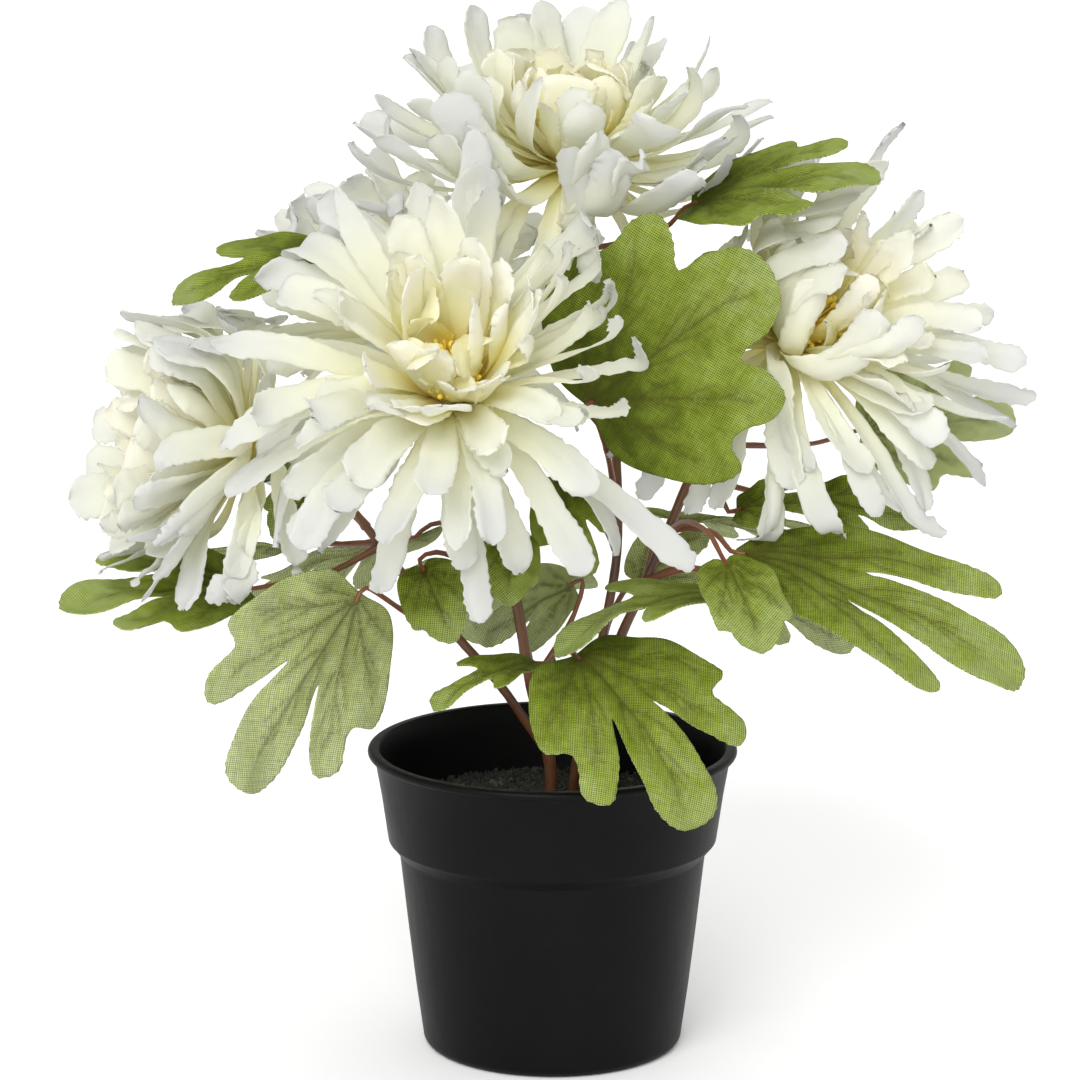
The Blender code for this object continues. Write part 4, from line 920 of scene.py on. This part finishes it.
finish = Finish("petal_fabric")
place = finish.place()
tone_level = finish.scaled(finish.noise(place, 70.0, 1.0), 0.26, -0.13)
dyed_reach = finish.worked("ADD", finish.read("reach"), tone_level)
outer = finish.ramp(dyed_reach, (0.03, (0.98, 0.90, 0.40)), (0.14, (0.975, 0.955, 0.68)),
                    (0.34, (0.94, 0.935, 0.79)), (0.62, (0.87, 0.875, 0.79)), (0.90, (0.80, 0.805, 0.79)))
inner = finish.ramp(dyed_reach, (0.10, (0.998, 0.885, 0.27)), (0.20, (0.998, 0.95, 0.54)),
                    (0.32, (0.995, 0.975, 0.74)), (0.48, (0.99, 0.975, 0.91)))
faded = finish.add("ShaderNodeHueSaturation", Color=finish.mixed(finish.read("heart"), outer, inner),
                   Value=finish.scaled(finish.read("tone"), 0.03, 0.982))
weave_place = finish.add("ShaderNodeCombineXYZ", X=finish.read("across"), Y=finish.read("along"))
weft = finish.noise(place, 1400.0, 0.0)
cloth = finish.scaled(threads(finish, weave_place, "X", 7.0), 0.6, weft)
finish.relief(finish.scaled(finish.noise(place, 330.0, 1.5), 2.4, cloth), 0.30, 0.0005)
finish.show(Base_Color=faded, Roughness=finish.scaled(weft, 0.2, 0.62), Specular_IOR_Level=0.2,
            Sheen_Weight=0.1)
lit_through(finish, faded, 0.52)

for head in HEADS:
    planes = head_splits(head)
    draw = random.Random(HEADS[head]["seed"] + 900)
    lines = []
    rows = {key: [] for key in ("inner", "wide", "half", "along", "reach", "cup", "fold", "tone", "heart")}
    for petal in bloom_petals(head):
        points, widths = petal_midline(head, petal, planes)
        pointed = draw.choice((0.0, 0.0, 0.0, 0.1, 0.25, 0.5))
        tone, depth = draw.random(), draw.uniform(0.02, 0.42)
        fold = draw.choice((-1.0, 1.0, 1.0)) * draw.uniform(0.0, 0.50)
        uneven = draw.uniform(0.0, 6.28)
        sides = [[], []]
        for share in PETAL_PLACES:
            i = share * FINE_STEPS
            low = min(int(i), FINE_STEPS - 1)
            middle = points[low].lerp(points[low + 1], i - low)
            across = widths[low].lerp(widths[low + 1], i - low).normalized()
            along = (points[low + 1] - points[low]).normalized()
            half = PETAL_WIDTH * petal["width"] * petal_breadth(share, pointed) / 2
            half *= 1.0 + 0.07 * math.sin(17.0 * share + uneven) * share
            across = laid_flat(across, along, middle, half, planes, petal["inset"]) * half
            for side, way in enumerate((-1, 1)):
                sides[side].append(edge_clear(middle + across * way, planes, petal["inset"]))
        sides = [smoothed(side, 2) for side in sides]
        line = [(a + b) / 2 for a, b in zip(*sides)]
        lines.append(line)
        for values in rows.values():
            values.append([])
        for i, share in enumerate(PETAL_PLACES):
            along = (line[min(i + 1, len(line) - 1)] - line[max(i - 1, 0)]).normalized()
            across = (sides[1][i] - sides[0][i]) / 2
            here = {
                "inner": along.cross(across).normalized(), "wide": across.normalized(),
                "half": max(across.length, 0.8) * MM, "along": share, "reach": share * petal["length"],
                "cup": depth * (1.0 - 0.4 * share) + 0.35 * max(share - 0.7, 0.0),
                "fold": fold * math.sin(3.0 * share), "tone": tone, "heart": petal["heart"],
            }
            for key, values in rows.items():
                values[-1].append(here[key])
    guide = guide_lines("petal_guides_" + head, lines, **rows)
    petals = straps.grow("petals_" + head, guide, finish.material, {
        "Points round": 14, "Thickness share": 0.04, "Crumple": 0.0048, "Pleats": 0.0024,
        "Ragged edge": 0.0048})
    core = bmesh.new()
    bmesh.ops.create_cone(core, cap_ends=True, segments=24, radius1=CORE_FOOT_RADIUS * MM,
                          radius2=CORE_TOP_RADIUS * 0.8 * MM, depth=CORE_HEIGHT * MM)
    carried_to_head(core, head, CORE_HEIGHT * MM / 2)
    core.from_mesh(petals.data)
    core.to_mesh(petals.data)
    core.free()
    petals.data.polygons.foreach_set("use_smooth", [True] * len(petals.data.polygons))
    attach(petals, "root")
    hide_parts("head_" + head + "_petals")


# The tufts: in each bloom's heart a button of short yellow stamens with swollen dusty tips, all leaning
# out from the middle.
TUFT_RADIUS = 3.3
STAMENS = 54
STAMEN_LENGTH = 14.0
STAMEN_SHAPE = ((0.0, 0.42), (0.5, 0.34), (0.78, 0.40), (0.86, 0.85), (0.94, 0.92), (1.0, 0.34))
GOLDEN_TURN = 2.399963

finish = Finish("stamen_plastic")
pollen = finish.noise(finish.place(), 600.0, 4.0)
finish.show(Base_Color=finish.ramp(pollen, (0.3, (0.97, 0.68, 0.07)), (0.6, (0.98, 0.80, 0.14)),
                                   (0.8, (0.98, 0.88, 0.34))),
            Roughness=finish.scaled(pollen, 0.3, 0.5))
finish.relief(pollen, 0.8, 0.0004)

for head in HEADS:
    foot, right, upper, axis = head_frame(head)
    draw = random.Random(HEADS[head]["seed"] + 70)
    lines, radii = [], []
    for i in range(STAMENS):
        reach = TUFT_RADIUS * math.sqrt((i + 0.5) / STAMENS)
        azimuth = i * GOLDEN_TURN
        spot = right * math.cos(azimuth) + upper * math.sin(azimuth)
        start = foot + axis * (CORE_HEIGHT - 0.5) + spot * reach * 0.75
        stray = Vector([draw.uniform(-0.15, 0.15) for _ in range(3)])
        way = (axis + spot * (0.12 + 0.30 * reach) + stray).normalized()
        length = STAMEN_LENGTH * draw.uniform(0.75, 1.1) * (1.0 - 0.03 * reach)
        lines.append([start + way * length * share for share, _ in STAMEN_SHAPE])
        radii.append([radius * MM for _, radius in STAMEN_SHAPE])
    tuft = rods.grow("tuft_" + head, guide_lines("tuft_guides_" + head, lines, radius=radii), finish.material,
                     {"Sides": 7, "Unevenness": 0.0002})
    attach(tuft, "root")
    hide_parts("head_" + head + "_tuft")


# The leaves: lobed sheets cut from green woven fabric, pressed with sunken veins, darker above and pale sage
# below, where the threads show. Each is bent on its own stalk. Their colour is painted paler towards the tip,
# as light shining through it, so it is darker near the root.
LEAF_FORMS = {
    "five": (
        ((0, 1.00), (6, 0.97), (10.5, 0.86), (13, 0.66), (15, 0.42), (19, 0.62), (24, 0.82), (33, 0.80),
         (38, 0.62), (50, 0.64), (64, 0.46), (95, 0.22), (150, 0.03)),
        ((0, 0.96), (27, 0.78), (49, 0.58), (74, 0.34))),
    "long": (
        ((0, 1.00), (4.5, 0.98), (8, 0.88), (9.5, 0.68), (11, 0.40), (14, 0.62), (17, 0.82), (23.5, 0.81),
         (28, 0.62), (36, 0.44), (55, 0.24), (150, 0.03)),
        ((0, 0.97), (20, 0.79), (34, 0.42), (52, 0.22))),
    "three": (
        ((0, 1.00), (9, 0.93), (13, 0.72), (16, 0.48), (24, 0.68), (36, 0.70), (54, 0.46), (90, 0.20),
         (150, 0.03)),
        ((0, 0.96), (32, 0.66), (62, 0.36))),
    "narrow": (
        ((0, 1.00), (6, 0.92), (8, 0.72), (10, 0.50), (22, 0.62), (30, 0.58), (40, 0.30), (80, 0.08),
         (150, 0.03)),
        ((0, 0.96), (26, 0.56))),
    "broad": (
        ((0, 1.00), (8, 0.97), (14, 0.86), (17, 0.74), (20, 0.72), (25, 0.82), (32, 0.88), (39, 0.82),
         (44, 0.70), (50, 0.66), (58, 0.72), (68, 0.64), (80, 0.45), (100, 0.24), (150, 0.03)),
        ((0, 0.96), (31, 0.82), (60, 0.64), (82, 0.34))),
    "simple": (
        ((0, 1.00), (12, 0.90), (20, 0.78), (27, 0.80), (42, 0.58), (75, 0.34), (120, 0.12), (150, 0.04)),
        ((0, 0.94), (26, 0.74), (48, 0.48), (78, 0.28))),
}
LEAF_FOLD = 9.0
LEAF_SIDE_DROOP = 0.30
LEAF_WAVE = 0.008
LEAF_THICKNESS = 0.5
LEAF_SPACING = 1.15
OUTLINE_SPACING = 1.6
TOOTH_DEPTH = 0.55
TOOTH_LENGTH = 7.5
VEIN_DEPTH = 0.45
VEIN_SPACING = 0.8
BANK_DISTANCE = 0.62
CELL = 0.42
RIB_CLEARANCE = 0.6
PUFF_HEIGHT = 0.42
RIPPLE_HEIGHT = 0.7


def leaf_surface(leaf, flat, lift):
    """Points of the flat leaf, in shares of its length, carried to its drooping place, and their normals."""
    *ways, length, droop = leaf_frame(leaf)
    root, along, side, upper = (np.array(way) for way in ways)
    x, y = flat[:, 0:1], flat[:, 1:2]
    bend = droop * x
    spine = root + (along * np.sin(bend) - upper * (1 - np.cos(bend))) * length / droop
    normal = upper * np.cos(bend) + along * np.sin(bend)
    fold = math.radians(LEAF_FOLD)
    rise = np.abs(y) * math.sin(fold) - LEAF_SIDE_DROOP * y * y + LEAF_WAVE * np.sin(11.0 * x + 17.0 * y)
    return spine + side * (y * length * math.cos(fold)) + normal * (rise * length + lift[:, None]), normal


def fine_outline(form, draw, length):
    """The lobed outline with soft corners, small blunt teeth and a slightly uneven cut, as an array."""
    half = [(math.radians(angle), radius) for angle, radius in LEAF_FORMS[form][0]]
    right = [(radius * math.cos(angle), -radius * math.sin(angle), 0.0) for angle, radius in reversed(half)]
    outline = right + [(x, -y, 0.0) for x, y, _ in reversed(right[:-1])]
    path = smooth_path(outline, OUTLINE_SPACING / length)
    middle = np.array([(p.x, p.y) for p in path])
    step = np.roll(middle, -1, 0) - np.roll(middle, 1, 0)
    spread = np.maximum(np.linalg.norm(step, axis=1, keepdims=True), 1e-9)
    across = np.stack((step[:, 1], -step[:, 0]), 1) / spread
    run = np.concatenate(([0.0], np.cumsum(np.linalg.norm(np.diff(middle, axis=0), axis=1)))) * length
    phase = draw.uniform(0.0, 6.28)
    teeth = TOOTH_DEPTH * np.abs(np.sin(run / TOOTH_LENGTH + phase)) + 0.22 * np.sin(run * 1.9 + phase * 2)
    open_part = np.clip((np.linalg.norm(middle, axis=1) - 0.45) / 0.25, 0.0, 1.0)
    return middle + across * ((teeth - 0.35) * open_part / length)[:, None]


def inside(points, outline):
    """Whether each point lies inside a closed outline."""
    x, y = points[:, 0:1], points[:, 1:2]
    ax, ay = outline[:, 0], outline[:, 1]
    bx, by = np.roll(ax, -1), np.roll(ay, -1)
    crosses = (ay > y) != (by > y)
    with np.errstate(divide="ignore", invalid="ignore"):
        return (crosses & (x < (bx - ax) * (y - ay) / (by - ay) + ax)).sum(1) % 2 == 1


def leaf_veins(form, draw):
    """The veins of a form as (points, start width, end width): a main one for each lobe, and its forks."""
    veins = []
    for angle, reach in LEAF_FORMS[form][1]:
        for sign in ((1,) if angle == 0 else (1, -1)):
            way = math.radians(angle) * sign
            curve = 0.16 * sign * draw.uniform(0.4, 1.2) if angle else 0.05 * draw.uniform(-1.0, 1.0)
            shares = np.linspace(0.0, 0.86, 14)
            turns = way + curve * (shares - 0.5)
            main = np.stack((np.cos(turns), np.sin(turns)), 1) * (shares * reach)[:, None]
            veins.append((main, 0.015 if angle < 40 else 0.011, 0.002))
            for side in (1, -1):
                for place, spread, run in ((5, 0.50, 0.30), (8, 0.42, 0.24), (11, 0.36, 0.14)):
                    place += draw.randint(-1, 1)
                    spread *= draw.uniform(0.8, 1.2)
                    steps = np.linspace(0.0, run * reach * draw.uniform(0.8, 1.1), 7)
                    bow = turns[place] + side * spread * (1.0 - 0.35 * steps / steps[-1])
                    fork = main[place] + np.stack((np.cos(bow), np.sin(bow)), 1) * steps[:, None]
                    veins.append((fork, 0.0085 if place < 7 else 0.006, 0.001))
    return veins


def vein_depth(points, veins):
    """How deep in a vein each point of the flat leaf lies, from 0 to 1."""
    depth = np.zeros(len(points))
    for line, start_width, end_width in veins:
        for i, (start, end) in enumerate(zip(line, line[1:])):
            run = end - start
            share = np.clip((points - start) @ run / max(run @ run, 1e-12), 0.0, 1.0)
            distance = np.linalg.norm(points - start - share[:, None] * run, axis=1)
            done = (i + share) / (len(line) - 1)
            width = start_width + (end_width - start_width) * done
            strength = (start_width / 0.015) ** 0.5 * (1.0 - 0.55 * done ** 2)
            stain = 0.36 * np.exp(-(distance / (3.2 * width + 0.012)) ** 2)
            depth = np.maximum(depth, np.maximum(np.exp(-(distance / width) ** 2), stain) * strength)
    return depth


def vein_points(veins, length):
    """Points along each vein and its two banks, each with a free cell round it."""
    kept, taken = [], set()
    for line, _, _ in veins:
        path = smooth_path([(x, y, 0.0) for x, y in line], VEIN_SPACING / length)
        for before, point, after in zip(path, path[1:], path[2:]):
            across = (after - before).cross(UP).normalized() * (BANK_DISTANCE / length)
            for spot in (point, point + across, point - across):
                cell = (round(spot.x * length / CELL), round(spot.y * length / CELL))
                if all((cell[0] + i, cell[1] + j) not in taken for i in (-1, 0, 1) for j in (-1, 0, 1)):
                    taken.add(cell)
                    kept.append((spot.x, spot.y))
    return np.array(kept)


finish = Finish("leaf_fabric")
flat_place = finish.read("flat", "Vector")
tone_level = finish.scaled(finish.noise(flat_place, 0.09, 3.0, Roughness=0.65), 0.80, -0.005)
# Painted light: the tipward share makes each leaf paler towards its tip, as light shining through it, on top of
# its dye mottling and its own random tone.
tone_level = finish.scaled(finish.read("tipward"), 0.66, finish.scaled(finish.read("shade"), 0.24, tone_level))
above = finish.ramp(tone_level, (0.42, (0.100, 0.142, 0.006)), (0.62, (0.202, 0.266, 0.022)),
                    (0.82, (0.280, 0.350, 0.056)), (1.0, (0.340, 0.412, 0.122)))
below = finish.ramp(tone_level, (0.42, (0.405, 0.462, 0.150)), (0.75, (0.530, 0.588, 0.262)),
                    (1.0, (0.515, 0.570, 0.295)))
weave = finish.worked("MAXIMUM", threads(finish, flat_place, "X", 0.44, Distortion=0.5, Detail=0.0),
                      threads(finish, flat_place, "Y", 0.50, Distortion=0.5, Detail=0.0))
slub, cross_slub = (finish.noise(finish.stretched(flat_place, *shares), 1.0, 1.0)
                    for shares in ((1.9, 0.16, 1.0), (0.16, 1.9, 1.0)))
thread_tone = finish.scaled(finish.worked("ADD", slub, cross_slub), 0.62, finish.scaled(weave, 1.22, -0.525))
woven = finish.mixed(1.0, finish.mixed(finish.read("upper_side"), below, above), thread_tone, "MULTIPLY")
pressed = finish.mixed(finish.product(finish.read("vein"), 0.80), woven, (0.085, 0.078, 0.009, 1.0))
finish.show(Base_Color=pressed, Roughness=finish.scaled(slub, 0.25, 0.55), Specular_IOR_Level=0.25)
finish.relief(weave, 0.4, 0.00025)
lit_through(finish, pressed, 0.40)

for number, leaf in enumerate(LEAVES):
    draw = random.Random(100 + number)
    length = leaf_frame(leaf)[4]
    outline = fine_outline(leaf["form"], draw, length)
    pitch = LEAF_SPACING / length
    low, high = outline.min(0), outline.max(0)
    grid = []
    for row, y in enumerate(np.arange(low[1], high[1], pitch * 0.87)):
        xs = np.arange(low[0], high[0], pitch) + (pitch / 2 if row % 2 else 0.0)
        grid.append(np.stack((xs, np.full(len(xs), y)), 1))
    grid = np.concatenate(grid)
    lines = leaf_veins(leaf["form"], draw)
    ribs = vein_points(lines, length)
    ribs = ribs[inside(ribs, outline)]
    ribs = ribs[np.linalg.norm(ribs[:, None, :] - outline[None, :, :], axis=2).min(1) > 0.5 / length]
    grid = grid[inside(grid, outline)]
    grid = grid[np.linalg.norm(grid[:, None, :] - outline[None, :, :], axis=2).min(1) > pitch * 0.45]
    grid = grid[np.linalg.norm(grid[:, None, :] - ribs[None, :, :], axis=2).min(1) > RIB_CLEARANCE / length]
    points = [Vector(p) for p in np.concatenate((outline, ribs, grid))]
    count = len(outline)
    flat = geometry.delaunay_2d_cdt(points, [(i, (i + 1) % count) for i in range(count)], [], 1, 1e-7)
    where = np.array([(p.x, p.y) for p in flat[0]])
    veins = vein_depth(where, lines)
    puff = PUFF_HEIGHT * (1.0 - np.minimum(veins * 1.3, 1.0)) ** 2 * draw.uniform(0.8, 1.2)
    ripple = RIPPLE_HEIGHT * np.sin(where[:, 0] * 15.0 + draw.uniform(0, 6))
    ripple *= np.sin(where[:, 1] * 13.0 + draw.uniform(0, 6))
    middle, normal = leaf_surface(leaf, where, puff + ripple - VEIN_DEPTH * veins)
    half = LEAF_THICKNESS / 2
    verts = np.concatenate((middle + normal * half, middle - normal * half)) * MM
    total = len(where)
    faces = [tuple(face) for face in flat[2]] + [tuple(i + total for i in reversed(face)) for face in flat[2]]
    used = dict.fromkeys(edge for face in flat[2] for edge in zip(face, face[1:] + face[:1]))
    faces += [(b, a, a + total, b + total) for a, b in used if (b, a) not in used]
    mesh = bpy.data.meshes.new("leaf_" + leaf["name"] + "_cloth")
    mesh.from_pydata([tuple(v) for v in verts], [], faces)
    turn = draw.uniform(0.3, 1.2)
    along_thread = where @ np.array((math.cos(turn), math.sin(turn))) * length
    across_thread = where @ np.array((-math.sin(turn), math.cos(turn))) * length
    place = np.stack((along_thread, across_thread, np.full(total, number * 9.0)), 1)
    tipward = np.clip(np.linalg.norm(where, axis=1) - 0.15, 0.0, 1.0)
    carry(mesh, "flat", np.tile(place, (2, 1)))
    carry(mesh, "tipward", np.tile(tipward, 2))
    carry(mesh, "upper_side", [1.0] * total + [0.0] * total)
    carry(mesh, "vein", np.tile(veins, 2))
    carry(mesh, "shade", [draw.random()] * (2 * total))
    cloth_leaf = shown("leaf_" + leaf["name"] + "_cloth", mesh, finish.material)
    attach(cloth_leaf, "root")
    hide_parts("leaf_" + leaf["name"])
